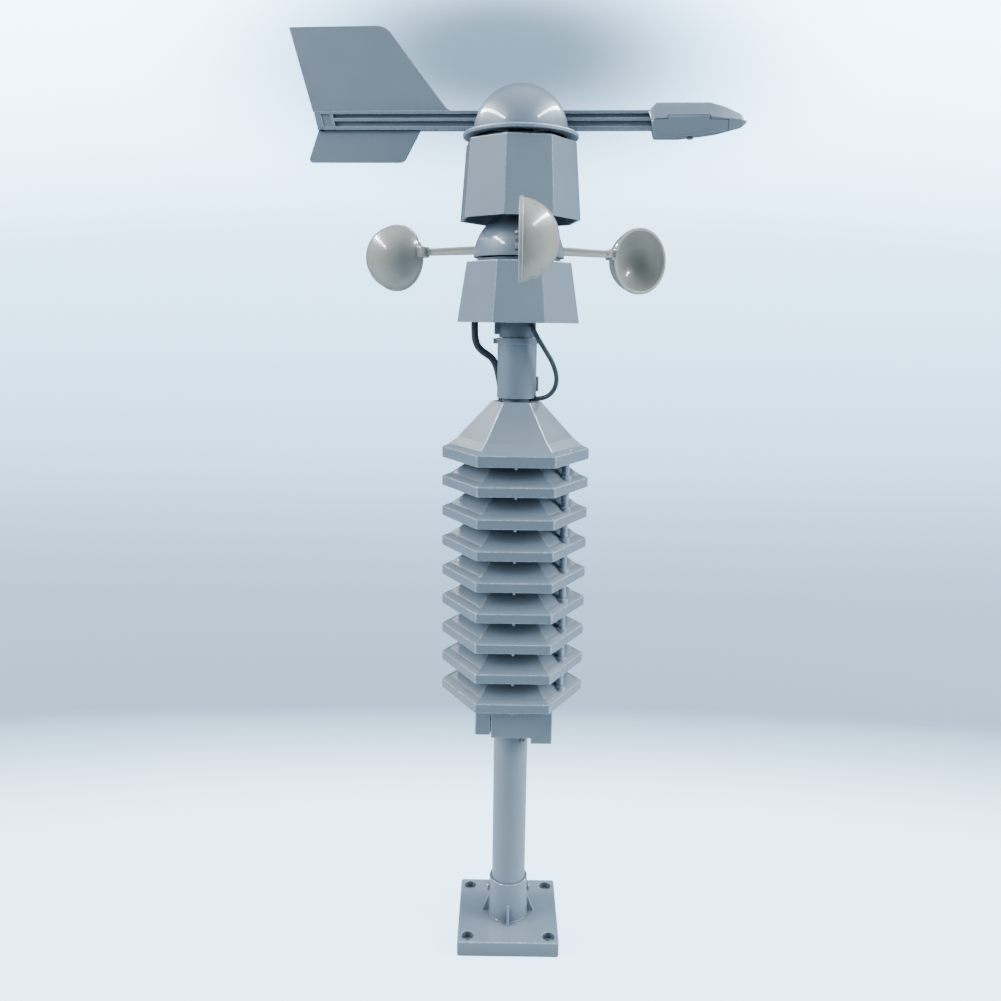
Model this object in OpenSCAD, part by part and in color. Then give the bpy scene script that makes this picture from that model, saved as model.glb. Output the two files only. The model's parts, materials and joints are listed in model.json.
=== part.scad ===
// Mast weather station: wind vane over a three-cup anemometer, a louvred radiation
// shield with its transmitter box, and a pole that stands in a screw-down foot.
// Millimetres. The origin is the centre of the foot's underside, on the pole's axis.
// +Z is up and +X is the side the wind vane's nose points to at rest.

/* [Foot] */
// Side of the square foot plate
foot_w = 75; // [72:1:90]
// Thickness of the foot plate
foot_t = 12; // [10:0.5:14]
// Distance between neighbouring screw holes
foot_hole_pitch = 60; // [56:1:60]
// Diameter of the screw holes
foot_hole_d = 5; // [3:0.5:6]
// Diameter of the counterbores over the screw holes
counterbore_d = 9.4; // [8:0.1:10]
// Depth of the counterbores
counterbore_depth = 5; // [2:0.5:6]
// Height of the pole socket's rim above the floor
socket_top_z = 42.5; // [38:0.5:50]

/* [Pole] */
// Outside diameter of the pole
pole_d = 25; // [25:0.1:25.1]
// Wall of the pole
pole_wall = 1.8; // [1.6:0.1:1.8]
// Height of the pole's top end above the floor
pole_top_z = 165.6; // [165:0.1:165.7]

/* [Transmitter box] */
// Depth of the box, front to back
box_d = 44; // [42:1:46]
// Wall of the box and of its door
box_wall = 1.5; // [1.2:0.1:1.6]

/* [Radiation shield] */
// Distance from the axis to a corner of a louvre
louvre_r = 51; // [50:0.5:52]
// Height of the lowest louvre's upper rim edge
louvre_bottom_z = 201.5; // [201.5:0.1:202]
// Distance between one louvre and the next
louvre_pitch = 21.5; // [21:0.1:21.6]
// Height of a louvre's outer rim band
louvre_rim_h = 6.6; // [6:0.1:7]
// Wall of the louvres and the cap
louvre_wall = 1.8; // [1.6:0.1:2]
// Distance from the axis to the two tie rods
rod_r = 39; // [38.8:0.1:39.2]

/* [Mast post] */
// Diameter of the post between the cap and the wind sensors
post_d = 26.7; // [26:0.1:27]

/* [Wind speed sensor] */
// Width over the flats of the lower housing, at its top
speed_top_af = 68; // [67.5:0.5:70]
// Width over the flats of the lower housing, at its bottom
speed_bottom_af = 80; // [79:0.5:82]
// Distance from the axis to a cup's centre
cup_circle_r = 101; // [95:1:105]
// Outside radius of a cup
cup_r = 22.7; // [22:0.1:24]
// Wall of a cup
cup_wall = 1.4; // [1.2:0.1:1.6]
// Turn of the first cup at rest, in degrees
cup_rest_turn = -91; // [-180:1:180]

/* [Wind direction sensor] */
// Width over the flats of the upper housing, at its top
vane_top_af = 68; // [67.5:0.5:69]
// Width over the flats of the upper housing, at its bottom
vane_bottom_af = 75.5; // [75:0.5:78]
// Turn of the upper housing about the mast, in degrees
vane_housing_turn = 8; // [0:1:45]
// Heading of the vane at rest, in degrees from +X
vane_rest_turn = -4; // [-10:0.5:10]
// Diameter of the brim under the vane's dome
brim_d = 75; // [72:1:78]
// Width of the vane's boom
boom_w = 6; // [5:0.5:7]
// Thickness of the tail fins
fin_t = 2; // [1.6:0.2:2.4]

/* [Hidden] */
$fn = 96;

// Colours
shell_grey = [0.76, 0.80, 0.83];
cup_ivory = [0.88, 0.88, 0.86];
steel = [0.68, 0.69, 0.71];
brass = [0.80, 0.66, 0.34];
board_green = [0.13, 0.40, 0.24];
cable_grey = [0.30, 0.33, 0.37];
black_part = [0.12, 0.12, 0.13];

// General
eps = 0.01;
fit = 0.05;           // radial clearance of a running or assembled fit
slip = 0.3;           // gap round a part that slides off
hex_corner = 1 / cos(30);
oct_corner = 1 / cos(22.5);

// Foot and pole
socket_d = pole_d + 5;
socket_top_d = pole_d + 3.6;
socket_floor_z = 5;
set_screw_z = 32;
set_screw_r = 14.6;
cross_hole_d = 3;
cross_hole_len = 20;
pole_len = pole_top_z - socket_floor_z;
lock_screw_turn = -48;
lock_screw_z = 158.5;

// Louvre bosses that the tie rods pass through, measured from the rim's upper edge
boss_d = 8;
boss_top = 4.6;
boss_bottom = -1.6;

// Transmitter box, which plugs into the pole's top
box_left = -26;
box_right = 29;
box_split_x = -14.6;
box_bottom_z = pole_top_z + 0.2;
box_step_x = 14;
box_step_h = 4.2;
bay_top_z = 194.2;
lid_t = 1.8;
lid_top_z = louvre_bottom_z + boss_bottom;
box_top_z = lid_top_z - lid_t;
door_bottom_z = 168;
door_rim = 3;
door_plug = 3.4;
spigot_len = 31;
spigot_wall = 2.2;
door_gap = 0.4;       // between the door's top and the box above it
board_floor_z = 195.5;
wire_way_d = 3;
wire_way_y = 8;
probe_hole_d = 9;
spigot_d = pole_d - 2 * pole_wall - 2 * fit;
cell_d = 14.2;
cell_len = 49.3;
cell_button = 1.2;
cell_pitch = 16;
cell_z = 181;
contact_t = 0.5;
contact_margin = 5;   // how far the contact strips reach past the cells' axes
contact_half_h = 4.5;
lid_hole_x = 12;
lid_hole_y = 8;
board_z = 195.7;
board_t = 1.6;
board_gap_x = 2.2;
guard_d = 16;
guard_h = 44;
guard_wall = 1.5;
guard_slot_count = 8;
guard_slot_levels = 4;
guard_slot_step = 8.6;
guard_slot_h = 5.4;

// Radiation shield
louvre_count = 8;
rod_d = 3;
nut_d = 6.3;
nut_h = 2.4;
ear_d = 6;
rod_turns = [-30, 150];
sleeve_d = 5.2;
cap_rim_h = 7.5;
cap_rim_z = louvre_z(1) + 20.5;
cap_slope = [[46, 2.3], [40, 7.3], [17, 32]];
cap_top_z = cap_rim_z + 32;
cap_boss_low = -3.4;
cap_boss_z = cap_rim_z + cap_boss_low;
cap_socket_r = 13;
cap_socket_h = 19;
rod_low_z = box_top_z - nut_h - 1;

// Mast post and neck
post_foot_z = cap_top_z + 2.3;
post_top_z = 447;
post_bore_d = 16;
post_plug_r = 10;
post_plug_len = 18;
collar_h = 4;
collar_step = 1.7;
post_notch_turn = -16;
post_notch_top_z = 409.4;
post_notch_low_z = 403.3;
neck_socket_d = 21;
neck_socket_z = 427;
neck_d = 25;
neck_shoulder_z = 447.3;
neck_flange_d = 36;
neck_flange_z = 490;
neck_exit = [4.5, -10.5, 463];
neck_exit_turn = -61;
neck_exit_dip = 34;
deck_screw_orbit = 15.3;
thread_hole_d = 2.6;
deck_screw_turns = [30, 150, 270];

// Wind speed sensor
speed_bottom_z = 457;
speed_top_z = 496;
shell_wall = 2.2;
deck_t = 3;
column_r = 5;
column_bore_r = 3;
column_z = 478;
column_top_z = 544;
column_collar_top_z = 498.6;
column_collar_r = 7.4;
rotor_z = 499;
dome_r = 30;
dome_wall = 1.8;
dam_h = 2.2;          // height of the rain rings under both domes
dam_w = 2;
speed_dam_r = 27.6;
rotor_base_t = 1.8;
hub_tube_r = 10;
hub_tube_h = 25.5;
bushing_r = 8;
bushing_h = 6;
arm_z = 505;
arm_w = 4.6;
cup_z = 501.5;
cup_lip = 0.6;
cup_count = 3;
magnet_orbit = 22;

// Wind direction sensor
vane_bottom_z = 522.5;
vane_top_z = 570.8;
vane_deck_t = 2.8;
floor_z = 542;
floor_t = 3.2;
floor_af = 67.2;
floor_boss_z = 532;
post_orbit = 28;
bearing_boss_r = 9;
bearing_boss_z = 553.4;
bearing_r = 5.5;
bearing_h = 4;
shaft_r = 2.5;
shaft_z = 549.6;
shaft_top_z = 598;
carrier_z = 550.4;
carrier_r = 22;
reed_orbit = 19;
reed_d = 2.2;
reed_count = 8;
brim_z = 573.6;
brim_t = 2.6;
vane_dam_r = 28.2;
vane_dome_r = 31;
vane_dome_z = 575.4;
boom_bottom_z = 578.7;
boom_h = 11.7;
boom_rail = 2.1;
boom_web = 2;
boom_inner_x = 8;
nose_boom_end = 97;
nose_w = 15;
nose_axis_z = 584;
nose_groove_end = 84;
nose_weight_x = 100;
nose_weight_len = 26;
nose_screw_x = 108;
nose_screw_z = 574;

// Vane outlines in the vertical plane of the boom: distance from the axis, height
tail_top_x = -135.4;
tail_bottom_x = -132.8;
nose_outline = [[80.8, 590.2], [85.7, 594.8], [119, 594.8], [129, 592.3], [138.5, 588.4],
                [143, 583.8], [140.4, 580.4], [124.5, 576.6], [101, 573.8], [85, 573.8]];
seam_low_z = 584.2;
seam_high_z = 586.5;
seam_step_x = [92.6, 119.5];
seam_end_x = 131.2;

// Routes of the two leads, each from its board down to the transmitter board
speed_lead_d = 4.8;
speed_lead_route = [
    [-29, 2, 491.4], [-29, 2, 480], [-29, 2, 469], [-29, 2, 460], [-29, 2, 453],
    [-28.6, 2.2, 446.5], [-27, 3, 441.5], [-24, 4.5, 438], [-20.5, 7, 435.5],
    [-17, 10, 432.5], [-14.5, 12.6, 428], [-12.8, 14.4, 422], [-11.4, 15.6, 415],
    [-10.4, 16, 408], [-10, 16, 401], [-10, 16, 394], [-10.2, 15, 385], [-11, 12.5, 376],
    [-12, 9.5, 367], [-12, 8, 357], [-12, 8, 343], [-12, 8, 328], [-12, 8, 313],
    [-12, 8, 298], [-12, 8, 283], [-12, 8, 268], [-12, 8, 253], [-12, 8, 238],
    [-12, 8, 223], [-12, 8, 209], [-12, 8, 197.3]
];
vane_lead_d = 3.2;
vane_lead_route = [
    [0, 0, 545.2], [0, 0, 534], [0, 0, 522], [0, 0, 510], [0, 0, 498], [0, 0, 486],
    [0, 0, 477], [0.5, -2, 471], [2, -6, 466.5], [4.3, -10.2, 463], [6.6, -13.8, 459],
    [9.2, -15.8, 454.5], [12.2, -16.4, 449], [15.6, -16, 443.5], [19.2, -15.2, 438],
    [22.6, -14, 432.5], [25.2, -12.6, 426.5], [26.4, -11, 421], [26, -9.4, 416],
    [24, -7.9, 411.6], [20.8, -6.4, 408.6], [17, -4.9, 407], [13, -3.7, 406.6],
    [9.8, -2.8, 406.5], [7.8, -2.2, 405.7], [6.1, -1.7, 404.1], [4.8, -1.4, 401.8],
    [4.1, -1.2, 399], [3.8, -1.1, 395], [3.8, -1.1, 388], [4.4, -0.4, 380],
    [7, 2.6, 372], [10.4, 6.4, 364.5], [12, 8, 356], [12, 8, 346], [12, 8, 332], [12, 8, 318],
    [12, 8, 304], [12, 8, 290], [12, 8, 276], [12, 8, 262], [12, 8, 248], [12, 8, 234],
    [12, 8, 220], [12, 8, 208], [12, 8, 197.3]
];
grommet_place = [-10, 16];
grommet_d = 7.4;
lead_sides = 8;

// Rim height of a louvre, counted from the top one down
function louvre_z(k) = louvre_bottom_z + (louvre_count - k) * louvre_pitch;

// Value part of the way from a to b
function lerp(a, b, t) = a + (b - a) * t;

// Points of an arc round a centre, from one angle to another
function arc(x, y, r, from, to, steps = 8) =
    [for (i = [0:steps]) [x + r * cos(lerp(from, to, i / steps)), y + r * sin(lerp(from, to, i / steps))]];

// ---------------------------------------------------------------- shared shapes

// Upright block with rounded vertical edges, centred on the axis
module rounded_block(w, d, h, r) {
    translate([-w / 2 + r, -d / 2, 0]) cube([w - 2 * r, d, h]);
    translate([-w / 2, -d / 2 + r, 0]) cube([w, d - 2 * r, h]);
    for (x = [-1, 1], y = [-1, 1])
        translate([x * (w / 2 - r), y * (d / 2 - r), 0]) cylinder(h = h, r = r);
}

// Block between two corners
module block(low, high) {
    translate(low) cube(high - low);
}

// Pan-head screw along +Z, its head's underside at 0 and its shank below it
module pan_screw(shank_d, shank_len, head_d, head_h) {
    difference() {
        union() {
            translate([0, 0, -shank_len]) cylinder(h = shank_len + eps, d = shank_d);
            cylinder(h = head_h, d = head_d);
        }
        for (turn = [0, 90])
            rotate([0, 0, turn])
                block([-head_d * 0.3, -0.35, head_h * 0.4], [head_d * 0.3, 0.35, head_h + 1]);
    }
}

// Child turned to point outwards from the axis at a height
module outwards(turn, r, z) {
    rotate([0, 0, turn]) translate([r, 0, z]) rotate([0, 90, 0]) children();
}

// Tube swept through a list of points, closed at both ends
function unit(v) = v / norm(v);
function tangent(p, i) = unit(p[min(i + 1, len(p) - 1)] - p[max(i - 1, 0)]);
function side_of(t) = unit(cross(abs(t[0]) > 0.9 ? [0, 1, 0] : [1, 0, 0], t));
function carried(v, t) = unit(v - t * (v * t));
function sides_along(p, i = 0, v = undef) =
    let (t = tangent(p, i), s = is_undef(v) ? side_of(t) : carried(v, t))
    i == len(p) - 1 ? [s] : concat([s], sides_along(p, i + 1, s));

module swept_tube(route, d, sides) {
    rings = len(route);
    u = sides_along(route);
    points = [
        for (i = [0:rings - 1]) let (w = cross(tangent(route, i), u[i]))
            for (j = [0:sides - 1])
                route[i] + d / 2 * (u[i] * cos(j * 360 / sides) + w * sin(j * 360 / sides))
    ];
    walls = [
        for (i = [0:rings - 2], j = [0:sides - 1]) let (n = (j + 1) % sides)
            [i * sides + j, (i + 1) * sides + j, (i + 1) * sides + n, i * sides + n]
    ];
    start_cap = [[for (j = [0:sides - 1]) j]];
    end_cap = [[for (j = [sides - 1:-1:0]) (rings - 1) * sides + j]];
    polyhedron(points = points, faces = concat(walls, start_cap, end_cap), convexity = 10);
}

// ---------------------------------------------------------------- foot and pole

module foot_rib() {
    rotate([90, 0, 0]) linear_extrude(height = 1.8, center = true)
        polygon([[12.9, foot_t - 1], [socket_d / 2 + 4.6, foot_t - 1], [socket_d / 2 + 4.6, foot_t + 0.8],
                 [socket_d / 2 - 0.2, foot_t + 13.6], [12.9, foot_t + 13.6]]);
}

module foot_plate() {
    half = foot_hole_pitch / 2;
    color(shell_grey)
    difference() {
        union() {
            rounded_block(foot_w, foot_w, foot_t, 2);
            cylinder(h = socket_top_z, d1 = socket_d, d2 = socket_top_d);
            for (turn = [0:90:270]) rotate([0, 0, turn]) foot_rib();
        }
        translate([0, 0, socket_floor_z]) cylinder(h = socket_top_z, d = pole_d + 2 * fit);
        for (x = [-half, half], y = [-half, half]) translate([x, y, 0]) {
            translate([0, 0, -1]) cylinder(h = foot_t + 2, d = foot_hole_d);
            translate([0, 0, foot_t - counterbore_depth]) cylinder(h = foot_t, d = counterbore_d);
        }
        for (turn = [0, 180]) outwards(turn, 5, set_screw_z) cylinder(h = cross_hole_len, d = cross_hole_d);
    }
}

module foot_set_screws() {
    color(steel)
    for (turn = [0, 180])
        outwards(turn, set_screw_r, set_screw_z) pan_screw(2.9, 2, 5.4, 1.7);
}

module pole() {
    color(shell_grey)
    difference() {
        translate([0, 0, socket_floor_z]) cylinder(h = pole_len, d = pole_d);
        translate([0, 0, socket_floor_z - 1]) cylinder(h = pole_len + 2, d = pole_d - 2 * pole_wall);
        outwards(lock_screw_turn, 5, lock_screw_z) cylinder(h = cross_hole_len, d = cross_hole_d);
    }
}

module pole_lock_screw() {
    color(steel)
    outwards(lock_screw_turn, pole_d / 2 + 0.05, lock_screw_z) pan_screw(2.8, 5, 4.6, 1.4);
}

// ---------------------------------------------------------------- transmitter box

module transmitter_box() {
    half = box_d / 2;
    inner = half - box_wall;
    color(shell_grey)
    difference() {
        union() {
            block([box_split_x, -half, box_bottom_z], [box_right, half, box_top_z]);
            block([box_left, -half, bay_top_z + door_gap], [box_split_x + eps, half, box_top_z]);
            block([box_step_x, -half, box_bottom_z - box_step_h], [box_right, half, box_bottom_z + eps]);
            translate([0, 0, box_bottom_z - spigot_len]) cylinder(h = spigot_len + eps, d = spigot_d);
        }
        // Battery bay, open at the door's end
        block([box_split_x - 1, -inner, box_bottom_z + box_wall],
              [box_right - box_wall, inner, bay_top_z - box_wall]);
        // Room for the board, open at the top
        block([box_left + box_wall, -inner, board_floor_z], [box_right - box_wall, inner, box_top_z + 1]);
        // Hollow inside the plug, and its screw hole
        translate([0, 0, box_bottom_z - spigot_len - 1])
            cylinder(h = spigot_len, d = spigot_d - 2 * spigot_wall);
        outwards(lock_screw_turn, 5, lock_screw_z) cylinder(h = cross_hole_len, d = cross_hole_d - 0.1);
        // Ways for the contact wires
        for (y = [-wire_way_y, wire_way_y])
            translate([box_right - 6, y, bay_top_z - 4]) cylinder(h = 8, d = wire_way_d);
    }
}

module transmitter_lid() {
    half = box_d / 2;
    color(shell_grey)
    difference() {
        union() {
            block([box_left, -half, box_top_z], [box_right, half, lid_top_z]);
            for (turn = rod_turns) rotate([0, 0, turn]) {
                block([20, -ear_d / 2, box_top_z], [rod_r, ear_d / 2, lid_top_z]);
                translate([rod_r, 0, box_top_z]) cylinder(h = lid_t, d = ear_d);
            }
        }
        for (turn = rod_turns) rotate([0, 0, turn])
            translate([rod_r, 0, box_top_z - 1]) cylinder(h = lid_t + 2, d = rod_d + 2 * fit);
        translate([0, 0, box_top_z - 1]) cylinder(h = lid_t + 2, d = probe_hole_d);
        translate([lid_hole_x, lid_hole_y, box_top_z - 1]) cylinder(h = lid_t + 2, d = vane_lead_d + 0.6);
        translate([-lid_hole_x, lid_hole_y, box_top_z - 1]) cylinder(h = lid_t + 2, d = speed_lead_d + 0.6);
    }
}

module battery_door() {
    half = box_d / 2;
    top_z = bay_top_z;
    plug_low = door_bottom_z + box_wall;
    plug_high = bay_top_z - box_wall - slip;
    plug_half = half - box_wall - slip;
    seam_x = box_split_x - slip;
    color(shell_grey)
    difference() {
        union() {
            block([box_left, -half, door_bottom_z], [seam_x, half, top_z]);
            block([seam_x - eps, -plug_half, plug_low], [seam_x + door_plug, plug_half, plug_high]);
        }
        block([box_left + box_wall, -half + door_rim, door_bottom_z + door_rim],
              [seam_x + door_plug + 1, half - door_rim, top_z - door_rim]);
    }
}

module batteries() {
    color([0.25, 0.42, 0.62])
    for (side = [-1, 1]) translate([1.6, side * cell_pitch / 2, cell_z]) rotate([0, side * 90, 0]) {
        translate([0, 0, -(cell_len + cell_button) / 2]) cylinder(h = cell_len, d = cell_d);
        translate([0, 0, (cell_len - cell_button) / 2 - eps]) cylinder(h = cell_button, d = 5.5);
    }
}

module contact_strip(x) {
    half = cell_pitch / 2 + contact_margin;
    block([x, -half, cell_z - contact_half_h], [x + contact_t, half, cell_z + contact_half_h]);
}

module battery_contacts() {
    color(steel)
    difference() {
        contact_strip(box_right - box_wall - contact_t);
        block([20, -1, cell_z - 6], [40, 1, cell_z + 6]);
    }
}

module door_contact_plate() {
    color(steel) contact_strip(box_left + box_wall);
}

module transmitter_board() {
    half = box_d / 2 - box_wall - 0.5;
    color(board_green) {
        block([box_left + board_gap_x, -half, board_z], [box_right - board_gap_x, half, board_z + board_t]);
        block([-20, -14, board_z + board_t - eps], [-8, -4, board_z + board_t + 0.6]);
        block([14, -16, board_z + board_t - eps], [24, -8, board_z + board_t + 0.6]);
    }
}

module sensor_guard() {
    color(shell_grey)
    difference() {
        translate([0, 0, lid_top_z]) cylinder(h = guard_h, d = guard_d);
        translate([0, 0, lid_top_z - 1]) cylinder(h = guard_h - 1, d = guard_d - 2 * guard_wall);
        for (turn = [0:360 / guard_slot_count:359], level = [1:guard_slot_levels])
            rotate([0, 0, turn]) translate([0, 0, lid_top_z + level * guard_slot_step])
                block([4, -1, 0], [12, 1, guard_slot_h]);
    }
}

module humidity_sensor() {
    color(board_green) {
        block([-3, -0.8, board_z + board_t], [3, 0.8, lid_top_z + guard_h - 12]);
        block([-2.6, -2.6, lid_top_z + guard_h - 16], [2.6, -0.8 + eps, lid_top_z + guard_h - 8]);
    }
}

// ---------------------------------------------------------------- radiation shield

// Six-sided sloping shell: corner radii and heights from the rim up
module hex_shell(rim_h, slope, opening_r) {
    last = slope[len(slope) - 1];
    wall = louvre_wall;
    outer = concat([[louvre_r, -rim_h], [louvre_r, -0.4], [louvre_r - 0.5, 0]], slope);
    inner_slope = [for (i = [len(slope) - 1:-1:0]) [slope[i][0] - 0.4, slope[i][1] - wall]];
    band_r = louvre_r - wall * hex_corner;
    inner = concat(inner_slope, [[band_r, -wall], [band_r, -rim_h]]);
    rotate_extrude($fn = 6)
        polygon(concat(outer, [[opening_r, last[1]], [opening_r, last[1] - wall]], inner));
}

module rod_bosses(low, high) {
    for (turn = rod_turns) rotate([0, 0, turn])
        translate([rod_r, 0, low]) cylinder(h = high - low, d = boss_d);
}

module rod_holes(low, high) {
    for (turn = rod_turns) rotate([0, 0, turn])
        translate([rod_r, 0, low]) cylinder(h = high - low, d = rod_d + 2 * fit);
}

// Small moulded pips under the front and back of the rim
module rim_pips(rim_h) {
    pip_w = 1.6;
    pip_d = 1.4;
    pip_y = louvre_r / hex_corner - 0.8;
    for (side = [-1, 1]) translate([0, side * pip_y, -rim_h])
        block([-pip_w / 2, -pip_d / 2, -1.8], [pip_w / 2, pip_d / 2, 0.5]);
}

module louvre(k) {
    color(shell_grey)
    translate([0, 0, louvre_z(k)])
    difference() {
        union() {
            hex_shell(louvre_rim_h, [[45, 2.3], [28.5, 13.5]], 26.5);
            rod_bosses(boss_bottom, boss_top);
            rim_pips(louvre_rim_h);
        }
        rod_holes(boss_bottom - 2, boss_top + 2);
    }
}

module shield_cap() {
    color(shell_grey)
    difference() {
        union() {
            translate([0, 0, cap_rim_z]) {
                hex_shell(cap_rim_h, cap_slope, 11);
                rim_pips(cap_rim_h);
                rod_bosses(cap_boss_low, 2);
            }
            translate([0, 0, cap_top_z - cap_socket_h]) cylinder(h = cap_socket_h, r = cap_socket_r);
        }
        translate([0, 0, cap_top_z - cap_socket_h - 1])
            cylinder(h = cap_socket_h + 3, r = post_plug_r + fit);
        translate([0, 0, cap_rim_z]) rod_holes(-6, 0);
        translate([grommet_place[0], grommet_place[1], cap_top_z - 12])
            cylinder(h = 14, d = grommet_d + 0.1);
    }
}

module sleeve_between(low, high) {
    for (turn = rod_turns) rotate([0, 0, turn]) translate([rod_r, 0, low])
        difference() {
            cylinder(h = high - low, d = sleeve_d);
            translate([0, 0, -1]) cylinder(h = high - low + 2, d = rod_d + 2 * fit);
        }
}

module spacer_sleeves() {
    color(shell_grey) {
        for (k = [2:louvre_count]) sleeve_between(louvre_z(k) + boss_top, louvre_z(k - 1) + boss_bottom);
        sleeve_between(louvre_z(1) + boss_top, cap_boss_z);
    }
}

module tie_rods() {
    color(steel)
    for (turn = rod_turns) rotate([0, 0, turn])
        translate([rod_r, 0, rod_low_z]) cylinder(h = cap_rim_z - 0.2 - rod_low_z, d = rod_d);
}

module tie_rod_nuts() {
    color(steel)
    for (turn = rod_turns) rotate([0, 0, turn]) translate([rod_r, 0, box_top_z - nut_h])
        difference() {
            cylinder(h = nut_h, d = nut_d, $fn = 6);
            translate([0, 0, -1]) cylinder(h = 6, d = rod_d + 2 * fit);
        }
}

// ---------------------------------------------------------------- mast post and neck

module cable_grommet() {
    color(black_part)
    translate([grommet_place[0], grommet_place[1], cap_top_z - 9])
        difference() {
            cylinder(h = 8.5, d = grommet_d);
            translate([0, 0, -1]) cylinder(h = 12, d = speed_lead_d + 0.8);
        }
}

module mast_post() {
    notch_half = vane_lead_d / 2 + 0.5;
    color(shell_grey)
    difference() {
        union() {
            translate([0, 0, post_foot_z]) cylinder(h = post_top_z - post_foot_z, d = post_d);
            translate([0, 0, cap_top_z - post_plug_len]) cylinder(h = post_plug_len + 6, r = post_plug_r);
            translate([0, 0, post_top_z - collar_h]) cylinder(h = collar_h, d = post_d + collar_step);
            block([-16.4, -2.5, post_top_z - collar_h], [-12, 2.5, post_top_z - 0.4]);
            block([12, -2, post_foot_z + 4.5], [post_d / 2 + 1.6, 2, post_foot_z + 14.5]);
        }
        translate([0, 0, cap_top_z - 20]) cylinder(h = 60, d = post_bore_d);
        translate([0, 0, neck_socket_z]) cylinder(h = 40, d = neck_socket_d);
        // Notch in the foot where the wind direction lead goes in
        rotate([0, 0, post_notch_turn])
            block([5, -notch_half, post_notch_low_z], [16, notch_half, post_notch_top_z]);
    }
}

module sensor_neck() {
    color(shell_grey)
    difference() {
        union() {
            translate([0, 0, neck_socket_z + 2]) cylinder(h = 25, d = neck_socket_d - 2 * fit);
            translate([0, 0, neck_shoulder_z])
                cylinder(h = neck_flange_z - neck_shoulder_z + 1, d = neck_d);
            translate([0, 0, neck_flange_z]) cylinder(h = deck_t, d = neck_flange_d);
            block([-15.7, -3, 449.2], [-11, 3, speed_bottom_z + 3]);
        }
        translate([0, 0, neck_socket_z]) cylinder(h = column_z - neck_socket_z, d = post_bore_d);
        translate([0, 0, column_z - 1]) cylinder(h = 20, r = column_r + 0.02);
        translate(neck_exit) rotate([0, 90 + neck_exit_dip, neck_exit_turn])
            cylinder(h = 16, d = vane_lead_d + 2.4, center = true);
        for (turn = deck_screw_turns) rotate([0, 0, turn])
            translate([deck_screw_orbit, 0, neck_flange_z - 1]) cylinder(h = 6, d = thread_hole_d);
    }
}

// ---------------------------------------------------------------- wind speed sensor

// Tapering eight-sided bell, open at the bottom
module eight_sided_bell(bottom_af, top_af, h, top_t, hole_r) {
    wall = shell_wall * oct_corner;
    top_corner = top_af / 2 * oct_corner;
    bottom_corner = bottom_af / 2 * oct_corner;
    taper = (bottom_corner - top_corner) / h;
    rotate([0, 0, 22.5]) rotate_extrude($fn = 8)
        polygon([[bottom_corner, 0], [top_corner + 0.6 * taper + 0.3, h - 0.6], [top_corner - 0.6, h],
                 [hole_r, h], [hole_r, h - top_t],
                 [top_corner + top_t * taper - wall, h - top_t], [bottom_corner - wall, 0]]);
}

// Ring on a housing's deck that keeps driven rain out of the gap under a dome
module rain_ring(outer_r, deck_z) {
    translate([0, 0, deck_z - eps])
        difference() {
            cylinder(h = dam_h + eps, r = outer_r);
            translate([0, 0, -1]) cylinder(h = dam_h + 2, r = outer_r - dam_w);
        }
}

module speed_housing() {
    color(shell_grey)
    translate([0, 0, speed_bottom_z])
    difference() {
        union() {
            eight_sided_bell(speed_bottom_af, speed_top_af, speed_top_z - speed_bottom_z, deck_t, 8);
            translate([0, 0, speed_top_z - speed_bottom_z - deck_t]) cylinder(h = deck_t, r = 12);
            rain_ring(speed_dam_r, speed_top_z - speed_bottom_z);
        }
        translate([0, 0, 30]) cylinder(h = 20, r = column_r + fit);
        for (turn = deck_screw_turns) rotate([0, 0, turn])
            translate([deck_screw_orbit, 0, speed_top_z - speed_bottom_z - deck_t - 1])
                cylinder(h = 3, d = thread_hole_d);
    }
}

// Small screws of the speed housing's deck and of the upper housing's floor
module housing_screws() {
    color(steel) {
        for (turn = deck_screw_turns) rotate([0, 0, turn])
            translate([deck_screw_orbit, 0, neck_flange_z])
                rotate([180, 0, 0]) pan_screw(2.5, 4.6, 4.6, 1.5);
        for (turn = [45:90:315]) rotate([0, 0, turn + vane_housing_turn])
            translate([post_orbit, 0, floor_z])
                rotate([180, 0, 0]) pan_screw(2.5, 10, 4.6, 1.5);
    }
}

module wind_speed_board() {
    top = speed_top_z - deck_t;
    color(board_green) block([-31.5, -7, top - board_t], [-19, 7, top]);
}

module reed_switches() {
    color([0.55, 0.75, 0.72]) {
        translate([-magnet_orbit - 3.5, 5, speed_top_z - deck_t - 2.8])
            rotate([90, 0, 0]) cylinder(h = 10, d = reed_d);
        for (i = [0:reed_count - 1]) rotate([0, 0, i * 360 / reed_count])
            translate([reed_orbit, 4, floor_z + floor_t + 2.8])
                rotate([90, 0, 0]) cylinder(h = 8, d = reed_d);
    }
}

module support_column() {
    color(steel)
    difference() {
        union() {
            translate([0, 0, column_z]) cylinder(h = column_top_z - column_z, r = column_r);
            translate([0, 0, speed_top_z])
                cylinder(h = column_collar_top_z - speed_top_z, r = column_collar_r);
        }
        translate([0, 0, column_z - 1]) cylinder(h = column_top_z - column_z + 2, r = column_bore_r);
    }
}

module rotor_bushings() {
    color(brass)
    for (z = [rotor_z, rotor_z + 21]) translate([0, 0, z])
        difference() {
            cylinder(h = bushing_h, r = bushing_r - 0.01);
            translate([0, 0, -1]) cylinder(h = bushing_h + 2, r = column_r + fit);
        }
}

module rotor_base() {
    color(shell_grey)
    translate([0, 0, rotor_z])
    difference() {
        cylinder(h = rotor_base_t, r = dome_r - dome_wall - 0.15);
        translate([0, 0, -1]) cylinder(h = rotor_base_t + 2, r = bushing_r);
    }
}

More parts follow.
